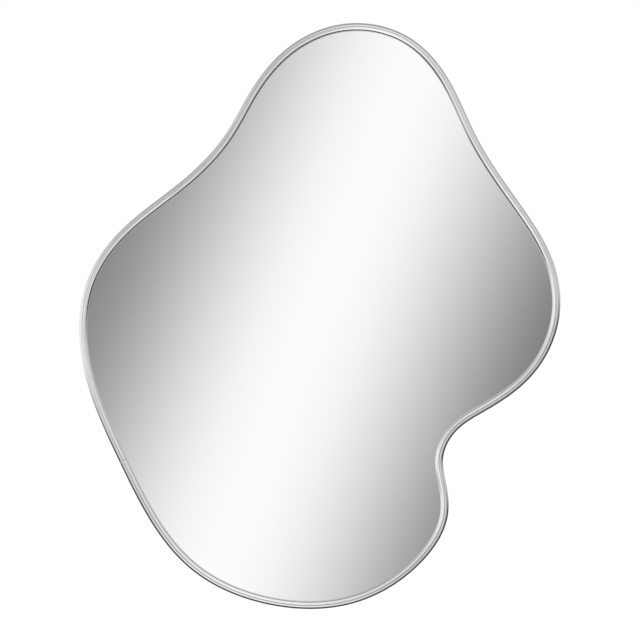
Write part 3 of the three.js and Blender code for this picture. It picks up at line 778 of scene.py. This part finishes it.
@material("Ground glass edge", {"IOR": 1.52})
def glass_edge(tree, shader, pane):
    """The ground edge of the pane: dull sea-green glass with grinding marks."""
    spots = effect(tree, speckle_group(), object_coords(tree), Grains=900.0, Blotches=30.0)
    shade = blended(tree, spots["Blotches"], pane.glass_edge, shaded(pane.glass_edge, 0.6))
    roughness = remap(tree, spots["Grains"], 0, 1, 0.25, 0.5)
    dress(tree, shader, shade, roughness, spots["Grains"], strength=0.3, distance=0.1 * MM)


def grainy(name, base, deepest, grains, blotches, roughness, relief, mix):
    """A matt material: grains in its relief and roughness, blotches and grains in its colour."""

    @material(name)
    def build(tree, shader):
        spots = effect(tree, speckle_group(), object_coords(tree), Grains=grains, Blotches=blotches)
        fine = calc(tree, "MULTIPLY", spots["Grains"], mix)
        both = calc(tree, "ADD", fine, calc(tree, "MULTIPLY", spots["Blotches"], 1 - mix))
        shade = blended(tree, both, base, shaded(base, deepest))
        dull = remap(tree, spots["Grains"], 0, 1, *roughness)
        dress(tree, shader, shade, dull, spots["Grains"], strength=relief, distance=0.2 * MM)

    return build()


def foam_tape(pane):
    return grainy("Foam tape", pane.foam, 0.72, 1800.0, 60.0, (0.75, 0.95), 0.5, 0.7)


def safety_film(pane):
    return grainy("Safety film", pane.film, 0.8, 1100.0, 18.0, (0.4, 0.6), 0.3, 0.4)


def bumper_rubber(bumpers):
    return grainy("Bumper rubber", bumpers.rubber, 2.2, 1600.0, 45.0, (0.6, 0.85), 0.3, 0.3)


@material("Zinc-plated steel", {"Metallic": 1.0})
def zinc_steel(tree, shader, fixings):
    """Zinc plating: soft bright and dull patches, a fine grain and faint scratches."""
    coords = object_coords(tree)
    spots = effect(tree, speckle_group(), coords, Grains=2200.0, Blotches=160.0)
    lines = effect(tree, polish_group(), coords, Lines=1700.0, Patches=240.0)
    rough = calc(tree, "ADD", calc(tree, "MULTIPLY", spots["Blotches"], 0.6), lines["Patches"])
    height = calc(tree, "ADD", calc(tree, "MULTIPLY", lines["Height"], 0.6), spots["Grains"])
    shade = blended(tree, spots["Blotches"], fixings.zinc, fixings.zinc_dull)
    roughness = remap(tree, rough, 0, 1.6, 0.24, 0.46)
    dress(tree, shader, shade, roughness, height, strength=0.12, distance=0.1 * MM)


@material("Sanded fibreboard")
def fibreboard(tree, shader, board):
    """Sanded fibreboard: short pale and dark fibres that lie every way, and faint broad clouds."""
    coords = object_coords(tree)
    spots = effect(tree, speckle_group(), coords, Grains=1300.0, Blotches=7.0)
    fibres = []
    for stretch in ((0.4, 1.0, 1.0), (1.0, 1.0, 0.4)):
        drawn_out = vector_calc(tree, "MULTIPLY", coords, stretch)[0]
        drawn = noise(tree, drawn_out, 1700.0, detail=3.0, roughness=0.7)
        fibres.append(remap(tree, drawn, 0.48, 0.75, 0.0, 0.4))
    dark = calc(tree, "MAXIMUM", *fibres)
    mottled = noise(tree, coords, 240.0, detail=6.0, roughness=0.75)
    flecks = remap(tree, mottled, 0.48, 0.7, 0.0, 0.3)
    clouds = calc(tree, "MULTIPLY", spots["Blotches"], 0.26)
    amount = calc(tree, "ADD", calc(tree, "MAXIMUM", dark, flecks), clouds)
    shade = blended(tree, amount, board.face, board.fibre)
    roughness = remap(tree, spots["Grains"], 0, 1, 0.62, 0.88)
    height = calc(tree, "ADD", spots["Grains"], dark)
    dress(tree, shader, shade, roughness, height, strength=0.25, distance=0.2 * MM)


# ---- Operators --------------------------------------------------------------------------------------


class PieceOperator:
    """What the operators share: they can be undone, and they need the frame."""

    bl_options = {"REGISTER", "UNDO"}

    @classmethod
    def poll(cls, context):
        return bool(frame["nodes"])


def depths(node):
    """Where a CAD node starts and ends, from front to back."""
    low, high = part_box(node)
    return low.y, high.y


def spot_of(node):
    """The middle of a CAD node seen from the front, across and up, and its lowest and highest corner."""
    low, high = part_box(node)
    return (low.x + high.x) / 2, (low.z + high.z) / 2, low, high


def nodes_named(*starts):
    return sorted(name for name in frame["nodes"] if name.startswith(starts))


def rail_section(rail, depth):
    """The rail's section, with a fillet at each corner, and a fine groove in its crowned face."""
    middle, half = (rail.crown_start + rail.crown_end) / 2, (rail.crown_end - rail.crown_start) / 2
    slope = 2 * rail.crown / half
    face, steps = [], 26
    for i in range(steps + 1):
        across = rail.crown_start + (rail.crown_end - rail.crown_start) * i / steps
        side = rail.groove_step if across < rail.groove_at else rail.groove_rise
        up_side = min(1, abs(across - rail.groove_at) / side)
        dip = rail.crown * ((across - middle) / half) ** 2
        face.append((across, dip + rail.groove_depth * (1 + math.cos(math.pi * up_side)) / 2, 0, 0))
    corners = [
        (rail.lip_width, depth, rail.arris, 2),
        (0, depth, rail.rear_rounding, 4),
        (0, rail.crown + slope * rail.crown_start, rail.shoulder, 14),
        *face,
        (rail.face_width, rail.crown + slope * (rail.face_width - rail.crown_end), rail.bead, 12),
        (rail.face_width, rail.flange, rail.arris, 2),
        (rail.wall, rail.flange, rail.bend, 2),
        (rail.wall, depth - rail.lip, rail.bend, 2),
        (rail.lip_width, depth - rail.lip, rail.arris, 2),
    ]
    return rounded(corners, guard=0.15 * MM)


class MIRROR_OT_rail(PieceOperator, Operator):
    """Makes the polished rail, from the seam all the way round to the seam"""

    bl_idname = "mirror.rail"
    bl_label = "Rail"

    def execute(self, context):
        rail, outline = context.scene.mirror_rail, Outline()
        front, rear = depths("frame_rail")
        half_gap = rail.seam_gap / 2
        path = outline.stretch(half_gap, outline.total - half_gap, EDGE_STEP, rail.seam_ease)
        section = rail_section(rail, rear - front)
        piece = swept("polished_rail", path, section, False, front, polished_metal(rail), rail.seam_ease)
        seated(smoothed(piece, 50), "polished_rail", "polished_metal", "frame_rail")
        return {"FINISHED"}


class MIRROR_OT_seam(PieceOperator, Operator):
    """Makes the steel joiner inside the rail at the seam, and its two countersunk screws"""

    bl_idname = "mirror.seam"
    bl_label = "Seam joiner"

    def execute(self, context):
        rail, fixings = context.scene.mirror_rail, context.scene.mirror_fixings
        steel, outline = zinc_steel(fixings), Outline()
        front, rear = depths("seam_joiner")
        outer = rail.wall + fixings.joiner_gap
        head, tip = outer + fixings.joiner_sheet, rail.wall - fixings.joiner_bite
        path = outline.stretch(-fixings.joiner_reach, fixings.joiner_reach, 2 * MM)
        section = rounded_box((outer, 0), (head, rear - front), 0.3 * MM)
        joiner = swept("seam_key", path, section, False, front, steel)
        for i, side in enumerate((-1, 1), start=1):
            point, inward = outline.place(side * fixings.joiner_screws)
            facing = Vector((0, 1, 0)).rotation_difference(Vector((inward.x, 0, inward.y))).to_matrix()
            place = Matrix.Translation((point.x, (front + rear) / 2, point.y)) @ facing.to_4x4()
            hole = turned("hole", countersunk(fixings, tip, head, 0.12 * MM, 0.01 * MM), 32)
            hole.data.transform(place)
            carved(joiner, [hole])
            name = f"seam_key_screw_{i}"
            screw = turned(name, countersunk(fixings, tip, head), 32)
            cross_cut(screw, fixings, head, 0.9 * MM)
            screw.data.transform(place)
            screw.data.materials.append(steel)
            seated(smoothed(screw), name, "zinc_steel", f"joiner_screw_{i}")
        seated(smoothed(joiner, 40), "seam_key", "zinc_steel", "seam_joiner")
        return {"FINISHED"}


def countersunk(fixings, tip, top, play=0, over=0):
    """The profile of a countersunk screw, or of its hole, from its tip to its flush head."""
    shank, head = fixings.shank + play, fixings.flush_head + play
    neck = top - fixings.flush_depth
    return [(0, tip - play), (shank, tip - play), (shank, neck), (head, top + over), (0, top + over)]


def cross_cut(screw, fixings, top, below):
    """Sinks a cross recess into a screw's head, whose top is at a given Y. It narrows on its way down."""
    arm, half = fixings.recess_arm / 2, fixings.recess
    cross = []
    for quarter in range(4):
        turn = Matrix.Rotation(quarter * math.pi / 2, 2)
        cross += [turn @ Vector(point) for point in ((arm, arm), (arm, half), (-arm, half))]
    rings = []
    for y, size in ((top - below, 0.35), (top + 0.3 * MM, 1.1)):
        rings.append([(point.x * size, y, point.y * size) for point in cross])
    carved(screw, [lofted("cross", rings)])


class MIRROR_OT_glazing(PieceOperator, Operator):
    """Makes the glazing tape, the silvered pane and its safety film"""

    bl_idname = "mirror.glazing"
    bl_label = "Glass, tape and film"

    def execute(self, context):
        pane, rail, outline = context.scene.mirror_pane, context.scene.mirror_rail, Outline()
        front, rear = depths("glazing_tape")
        outer, inner = pane.inset + pane.tape_margin, rail.face_width - pane.tape_margin
        section = rounded_box((outer, 0), (inner, rear - front), 0.12 * MM)
        line = outline.inside(0, 4 * MM)
        tape = swept("glazing_tape_ring", line, section, True, front, foam_tape(pane))
        seated(smoothed(tape, 60), "glazing_tape_ring", "foam_tape", "glazing_tape")

        glass = slab("mirror_pane", outline, pane.inset, *depths("mirror_glass"), pane.arris)
        glass.data.materials.append(silvered_glass(pane))
        glass.data.materials.append(glass_edge(pane))
        for face in glass.data.polygons:
            face.material_index = 0 if face.normal.y < -0.99 else 1
        seated(glass, "mirror_pane", "silvered_glass", "mirror_glass")

        film = slab("safety_backing", outline, pane.inset, *depths("safety_film"), 0.03 * MM)
        film.data.materials.append(safety_film(pane))
        seated(film, "safety_backing", "safety_film", "safety_film")
        return {"FINISHED"}


def slab(name, outline, inset, front, rear, arris):
    """A flat layer with the outline's shape and ground edges."""
    rings = []
    for more, y in ((arris, front), (0, front + arris), (0, rear - arris), (arris, rear)):
        rings.append([(point.x, y, point.y) for point in outline.inside(inset + more, EDGE_STEP)])
    return lofted(name, rings)


class MIRROR_OT_mounting_tapes(PieceOperator, Operator):
    """Makes the foam strips that hold the pane to the board"""

    bl_idname = "mirror.mounting_tapes"
    bl_label = "Mounting tapes"

    def execute(self, context):
        pane = context.scene.mirror_pane
        for name in nodes_named("mounting_tape"):
            low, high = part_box(name)
            plan = rounded_box((low.x, low.z), (high.x, high.z), pane.strip_rounding, 6)
            strip = eased(prism(name + "_foam", plan, low.y, high.y, 1), 0.1 * MM)
            strip.data.materials.append(foam_tape(pane))
            seated(smoothed(strip, 50), name + "_foam", "foam_tape", name)
        return {"FINISHED"}


class MIRROR_OT_board(PieceOperator, Operator):
    """Makes the backing board, with a pilot hole for each screw"""

    bl_idname = "mirror.board"
    bl_label = "Backing board"

    def execute(self, context):
        board, pane = context.scene.mirror_board, context.scene.mirror_pane
        front, rear = depths("backing_board")
        piece = slab("backboard", Outline(), pane.inset, front, rear, board.arris)
        holes = []
        for name in nodes_named(*PAN_SCREWS):
            x, z, low, _ = spot_of(name)
            tip, beyond, radius = low.y - 0.1 * MM, rear + MM, board.pilot_hole
            hole = turned("hole", [(0, tip), (radius, tip), (radius, beyond), (0, beyond)], 20)
            hole.data.transform(Matrix.Translation((x, 0, z)))
            holes.append(hole)
        carved(piece, holes)
        piece.data.materials.append(fibreboard(board))
        seated(piece, "backboard", "backing_board", "backing_board")
        return {"FINISHED"}


class MIRROR_OT_clips(PieceOperator, Operator):
    """Makes the Z-shaped clips that hold the board in the rail"""

    bl_idname = "mirror.clips"
    bl_label = "Retaining clips"

    def execute(self, context):
        rail, fixings = context.scene.mirror_rail, context.scene.mirror_fixings
        rail_front, rail_rear = depths("frame_rail")
        # Across the edge a clip is drawn in (inset, height), and height grows towards the front.
        sheet = fixings.clip_sheet
        foot = rail_front - depths("backing_board")[1] - fixings.toe_gap
        toe = rail_front - rail_rear + rail.lip + fixings.toe_gap
        riser = rail.lip_width + fixings.riser_clearance
        tip, end = rail.wall + fixings.toe_clearance, riser + sheet + fixings.clip_foot
        inner, outer = fixings.clip_bend, fixings.clip_bend + sheet
        profile = rounded(
            [
                (tip, toe + sheet, 0, 0),
                (riser, toe + sheet, inner, 5),
                (riser, foot, outer, 8),
                (end, foot, 0, 0),
                (end, foot - sheet, 0, 0),
                (riser + sheet, foot - sheet, inner, 5),
                (riser + sheet, toe, outer, 8),
                (tip, toe, 0, 0),
            ]
        )
        half, corner = fixings.clip_width / 2, fixings.foot_corner
        clip = prism("clip", profile, -half, half, 1)
        side = [(tip - MM, -half - MM, 0, 0), (end - corner, -half - MM, 0, 0), (end - corner, -half, 0, 0)]
        side.append((end, -half, corner, 8))
        plan = rounded(side + [(x, -y, *arc_of) for x, y, *arc_of in reversed(side)])
        carved(clip, [prism("blank", plan, toe - MM, foot - toe, 2)], "INTERSECT")
        ring = circle((riser + sheet + fixings.clip_foot / 2, 0), fixings.shank + fixings.play, 32)
        carved(clip, [prism("hole", ring, foot - 2 * sheet, foot + sheet, 2)])
        smoothed(eased(clip, 0.14 * MM), 40)
        line = line_object("clip_line", Outline().inside(0, 2 * MM), True)
        piece = linked("retaining_clips", bpy.data.meshes.new("retaining_clips"))
        values = {"Line": line, "Piece": clip, "Count": fixings.clips}
        values.update({"Front": rail_front, "Material": zinc_steel(fixings)})
        grown(piece, round_edge_tree(), values, (line, clip))
        seated(piece, "retaining_clips", "zinc_steel", *nodes_named("retaining_clip"))
        return {"FINISHED"}


class MIRROR_OT_screws(PieceOperator, Operator):
    """Makes the pan-head screws of the clips and the hangers"""

    bl_idname = "mirror.screws"
    bl_label = "Pan-head screws"

    def execute(self, context):
        fixings, nodes = context.scene.mirror_fixings, nodes_named(*PAN_SCREWS)
        places = []
        for name in nodes:
            x, z, low, high = spot_of(name)
            underside = high.y - fixings.head_height
            places.append((x, underside, z))
        screw = turned("pan_screw", pan_profile(fixings, underside - low.y), 40)
        cross_cut(screw, fixings, fixings.head_height, 1.25 * MM)
        smoothed(screw, 30)
        piece = placed("pan_screws", screw, places, zinc_steel(fixings), math.pi / 2, fixings.turn_seed)
        seated(piece, "pan_screws", "zinc_steel", *nodes)
        return {"FINISHED"}


def pan_profile(fixings, below):
    """A pan head with a flat underside at 0, over a shank with threads cut in it."""
    shank, radius, height = fixings.shank, fixings.head, fixings.head_height
    core, pitch, turns = shank - fixings.thread, fixings.pitch, 4
    start = 0.7 * MM - below
    profile = [(0, -below), (shank * 0.35, 0.25 * MM - below)]
    for i in range(turns):
        y = start + pitch * i
        profile += [(core, y), (shank, y + pitch / 2)]
    profile += [(core, start + pitch * turns), (core, 0), (radius - 0.08 * MM, 0), (radius, 0.1 * MM)]
    edge, flat, steps = 0.9 * MM, 0.34, 8
    for i in range(steps + 1):
        angle = math.pi / 2 * i / steps
        reach = flat + (1 - flat) * math.cos(angle)
        profile.append((radius * reach, edge + (height - edge) * math.sin(angle)))
    return profile + [(0, height)]


class MIRROR_OT_straps(PieceOperator, Operator):
    """Makes the two hanger straps, each curled round its ring's bar"""

    bl_idname = "mirror.straps"
    bl_label = "Hanger straps"

    def execute(self, context):
        hangers, fixings = context.scene.mirror_hangers, context.scene.mirror_fixings
        inner = hangers.wire + hangers.eye_clearance
        outer, half, down = inner + hangers.strap, hangers.strap_width / 2, hangers.strap_length
        start, end = -math.pi / 2, hangers.eye_wrap
        curl = arc((0, 0), outer, start, end, 40) + arc((0, 0), inner, end, start, 32)
        side = [(-down, -outer), *curl, (-down, -inner)]
        strap = prism("strap", [(depth, height) for height, depth in side], -half, half, 0)
        plan = arc((0, half - down), half, math.pi, 2 * math.pi, 28)
        plan += [(half, 2 * outer), (-half, 2 * outer)]
        carved(strap, [prism("blank", plan, -2 * outer, 2 * outer, 1)], "INTERSECT")
        for below in (hangers.upper_screw, down - hangers.end_screw):
            ring = circle((0, -below), fixings.shank + fixings.play, 32)
            carved(strap, [prism("hole", ring, -2 * outer, 0, 1)])
        smoothed(eased(strap, hangers.edge), 40)
        nodes, places = nodes_named("hanger_strap"), []
        for name in nodes:
            x, _, low, high = spot_of(name)
            places.append((x, low.y + outer, high.z - outer))
        piece = placed("hanger_straps", strap, places, zinc_steel(fixings))
        seated(piece, "hanger_straps", "zinc_steel", *nodes)
        return {"FINISHED"}


class MIRROR_OT_rings(PieceOperator, Operator):
    """Makes the two D-shaped wire rings, which swing in the straps"""

    bl_idname = "mirror.rings"
    bl_label = "Hanger rings"

    def execute(self, context):
        hangers, fixings = context.scene.mirror_hangers, context.scene.mirror_fixings
        half, corner = hangers.ring_width / 2, hangers.ring_corner
        rise = hangers.ring_height - corner
        bow = [(half * x, corner + rise * y) for x, y in arc((0, 0), 1, 0, math.pi, 48)]
        left = arc((corner - half, corner), corner, math.pi, 1.5 * math.pi, 10)[1:]
        right = arc((half - corner, corner), corner, -math.pi / 2, 0, 10)[:-1]
        wire = circle((0, 0), hangers.wire, 24)
        for side in ("left", "right"):
            node = "hanger_ring_" + side
            x, _, low, high = spot_of(node)
            path = [(x + across, low.z + hangers.wire + up) for across, up in bow + left + [(0, 0)] + right]
            ring = swept("ring", path, wire, True, (low.y + high.y) / 2, zinc_steel(fixings))
            seated(smoothed(ring, 60), "wire_ring_" + side, "zinc_steel", node, body="ring_" + side)
        return {"FINISHED"}


class MIRROR_OT_bumpers(PieceOperator, Operator):
    """Makes the four rubber bumpers that keep the mirror off the wall"""

    bl_idname = "mirror.bumpers"
    bl_label = "Wall bumpers"

    def execute(self, context):
        bumpers, nodes = context.scene.mirror_bumpers, nodes_named("wall_bumper")
        places = []
        for name in nodes:
            x, z, low, high = spot_of(name)
            places.append((x, low.y, z))
        radius, height = (high.x - low.x) / 2, high.y - low.y
        rear, edge = radius - bumpers.draft, bumpers.rounding
        foot, step = 0.3 * MM, 0.25 * MM
        profile = [(0, 0), (radius - foot, 0), (radius, foot), (radius, 3 * foot)]
        profile.append((radius - step, 1.1 * MM))
        profile += arc((rear - edge, height - edge), edge, 0, math.pi / 2, 6)
        rim, flat, steps = rear - edge - 0.6 * MM, 0.45, 6
        for i in range(1, steps + 1):
            dip = bumpers.dish * (1 - math.cos(math.pi * i / steps)) / 2
            profile.append((rim * (1 - (1 - flat) * i / steps), height - dip))
        part = turned("bumper", profile + [(0, height - bumpers.dish)], 48)
        smoothed(part, 40)
        seated(placed("bumpers", part, places, bumper_rubber(bumpers)), "bumpers", "bumper_rubber", *nodes)
        return {"FINISHED"}


# Grey panels between the soft screens: the middle, across and up, the reach and how much darker.
GREY_PANELS = (
    ((-0.42, 0.42), 0.4, 0.26),
    ((0.54, -0.04), 0.44, 0.5),
    ((-0.47, -0.24), 0.31, 0.3),
    ((0.34, -0.38), 0.36, 0.36),
)
# The tall screen behind the camera: how far it leans, and the place of its middle. The two numbers
# after that set how fast the light comes and goes across it, and across the soft screens.
SCREEN_LEAN, SCREEN_MIDDLE = math.radians(21), 0.003
SCREEN_WAVES, SOFT_WAVES = 24.2, 6.2
# How much the edge of the dark ground climbs to the right.
GROUND_SLOPE = 0.145
# The strengths of the mirrored ceiling and ground. White is 1.0.
CEILING, GROUND = 0.34, 0.05
# Where the soft lamps hang. Each is aimed at the mirror's middle.
LAMPS = (("front_lamp", (-0.9, -1.1, 2.3)), ("rear_lamp", (1.0, 1.3, 2.2)))


def studio(tree):
    """The strength of the room that shiny things mirror, by direction.

    A tall bright screen stands behind the camera, leaning to the right at its top, and fades to either
    side. Softer screens stand round it, with grey panels between them. Farther round, the left is
    bright, the right and the ceiling are dimmer and the ground is dark, and pale walls lie behind the
    mirror."""
    x, y, z = put(
        tree, "ShaderNodeSeparateXYZ", inputs={0: put(tree, "ShaderNodeTexCoord").outputs["Generated"]}
    ).outputs
    left, down, front = (calc(tree, "MULTIPLY", axis, -1.0) for axis in (x, z, y))
    upright, leaning = math.cos(SCREEN_LEAN), math.sin(SCREEN_LEAN)
    across = calc(tree, "SUBTRACT", calc(tree, "MULTIPLY", x, upright), calc(tree, "MULTIPLY", z, leaning))

    def waves(value, speed, low, high):
        wave = calc(tree, "COSINE", calc(tree, "MULTIPLY", value, speed))
        return remap(tree, wave, -1, 1, low, high)

    screen = waves(calc(tree, "SUBTRACT", across, SCREEN_MIDDLE), SCREEN_WAVES, 0.22, 1.0)
    screen = calc(tree, "MULTIPLY", screen, remap(tree, across, -0.2, 0.2, 1.24, 0.76))
    soft = waves(across, SOFT_WAVES, 0.88, 1.04)
    soft = calc(tree, "ADD", soft, remap(tree, down, -0.3, 0.12, -0.1, 0.04))
    place = vector_of(tree, X=x, Y=z)
    for centre, reach, darkness in GREY_PANELS:
        away = vector_calc(tree, "DISTANCE", place, (*centre, 0))[1]
        soft = calc(tree, "SUBTRACT", soft, remap(tree, away, 0, reach, darkness, 0, "SMOOTHSTEP"))
    below = calc(tree, "ADD", down, calc(tree, "MULTIPLY", x, GROUND_SLOPE))
    room = remap(tree, left, -0.3, 0.9, 0.6, 0.92)
    room = mixed_value(tree, remap(tree, z, 0.15, 0.85, 0, 1), room, CEILING)
    room = mixed_value(tree, remap(tree, below, 0.04, 0.3, 0, 1), room, GROUND)
    room = mixed_value(tree, remap(tree, front, 0.6, 0.85, 1, 0), soft, room)
    behind = remap(tree, across, -0.4, 0.4, 0.86, 0.66)
    room = mixed_value(tree, remap(tree, y, 0.2, 0.95, 0, 1), room, behind)
    return mixed_value(tree, remap(tree, front, 0.981, 0.9865, 0, 1), room, screen)


@material("Floor paint", {"Roughness": 0.9, "Specular IOR Level": 0.0, "Emission Color": (1, 1, 1, 1)})
def floor_paint(tree, shader, stage):
    """Matt white paint that reads as white from the camera, and still takes a soft shadow."""
    coords = object_coords(tree)
    spots = effect(tree, speckle_group(), coords, Grains=40.0, Blotches=1.5)
    shade = blended(tree, spots["Blotches"], stage.floor, shaded(stage.floor, 1.02))
    tree.links.new(shade, shader["Base Color"])
    seen = put(tree, "ShaderNodeLightPath").outputs["Is Camera Ray"]
    # It glows more from 1.2 m out to 5 m, where the lamps reach it less.
    glow = remap(tree, vector_calc(tree, "LENGTH", coords)[1], 1.2, 5.0, 0.3, 0.56)
    tree.links.new(calc(tree, "MULTIPLY", seen, glow), shader["Emission Strength"])


class MIRROR_OT_stage(PieceOperator, Operator):
    """Makes the floor, the light and the camera"""

    bl_idname = "mirror.stage"
    bl_label = "Stage"

    def execute(self, context):
        stage, scene = context.scene.mirror_stage, context.scene
        scene.view_settings.view_transform = "Standard"
        low, high = CAD_BOX
        middle = (low + high) / 2

        scene.world = scene.world or bpy.data.worlds.new("Studio")
        scene.world.use_nodes = True
        tree = scene.world.node_tree
        tree.nodes.clear()
        path = put(tree, "ShaderNodeLightPath").outputs
        mirrored = calc(tree, "MAXIMUM", path["Is Glossy Ray"], path["Is Transmission Ray"])
        strength = mixed_value(tree, mirrored, stage.light, studio(tree))
        strength = mixed_value(tree, path["Is Camera Ray"], strength, 1.0)
        back = put(tree, "ShaderNodeBackground", inputs={"Color": (1, 1, 1, 1), "Strength": strength})
        tree.links.new(back.outputs[0], put(tree, "ShaderNodeOutputWorld").inputs[0])

        height, reach = low.z - stage.floor_drop, stage.floor_reach
        floor = linked("floor", bpy.data.meshes.new("floor"))
        corners = [(x * reach, y * reach, height) for x, y in ((-1, -1), (1, -1), (1, 1), (-1, 1))]
        floor.data.from_pydata(corners, [], [(0, 1, 2, 3)])
        floor.visible_glossy = False
        floor.data.materials.append(floor_paint(stage))

        for name, place in LAMPS:
            lamp = bpy.data.lights.new(name, "AREA")
            lamp.energy, lamp.size = stage.lamp, stage.lamp_size
            light = linked(name, lamp)
            light.location = place
            light.rotation_euler = (middle - Vector(place)).to_track_quat("-Z", "Y").to_euler()
            light.visible_glossy = False

        camera = bpy.data.cameras.new("camera")
        seen_at = stage.camera_distance + scene.mirror_rail.shoulder
        camera.sensor_width = 36
        camera.lens = camera.sensor_width * seen_at / stage.view_width
        camera.clip_start, camera.clip_end = 0.05, 60
        eye = linked("camera", camera)
        eye.location = (stage.camera_shift, low.y - stage.camera_distance, stage.view_shift)
        eye.rotation_euler = (math.pi / 2, 0, 0)
        scene.camera = eye
        return {"FINISHED"}


class MIRROR_PT_panel(Panel):
    """Lists the mirror's pieces"""

    bl_label = "Irregular wall mirror"
    bl_idname = "MIRROR_PT_panel"
    bl_space_type = "VIEW_3D"
    bl_region_type = "UI"
    bl_category = "Mirror"

    def draw(self, context):
        for operator in OPERATORS:
            self.layout.operator(operator.bl_idname)
        for label in SETTINGS:
            group = getattr(context.scene, "mirror_" + label)
            box = self.layout.box()
            box.label(text=label.capitalize())
            for name in group.__annotations__:
                box.prop(group, name)


SETTINGS = {
    "rail": RailSettings,
    "pane": PaneSettings,
    "board": BoardSettings,
    "fixings": FixingSettings,
    "hangers": HangerSettings,
    "bumpers": BumperSettings,
    "stage": StageSettings,
}
OPERATORS = (
    MIRROR_OT_rail,
    MIRROR_OT_seam,
    MIRROR_OT_glazing,
    MIRROR_OT_mounting_tapes,
    MIRROR_OT_board,
    MIRROR_OT_clips,
    MIRROR_OT_screws,
    MIRROR_OT_straps,
    MIRROR_OT_rings,
    MIRROR_OT_bumpers,
    MIRROR_OT_stage,
)


def register():
    for cls in (*SETTINGS.values(), *OPERATORS, MIRROR_PT_panel):
        bpy.utils.register_class(cls)
    for label, cls in SETTINGS.items():
        setattr(bpy.types.Scene, "mirror_" + label, PointerProperty(type=cls))


def unregister():
    for label in SETTINGS:
        delattr(bpy.types.Scene, "mirror_" + label)
    for cls in reversed((*SETTINGS.values(), *OPERATORS, MIRROR_PT_panel)):
        bpy.utils.unregister_class(cls)


def main():
    """Makes every piece in order."""
    register()
    for operator in OPERATORS:
        group, name = operator.bl_idname.split(".")
        getattr(getattr(bpy.ops, group), name)()


if __name__ == "__main__":
    main()
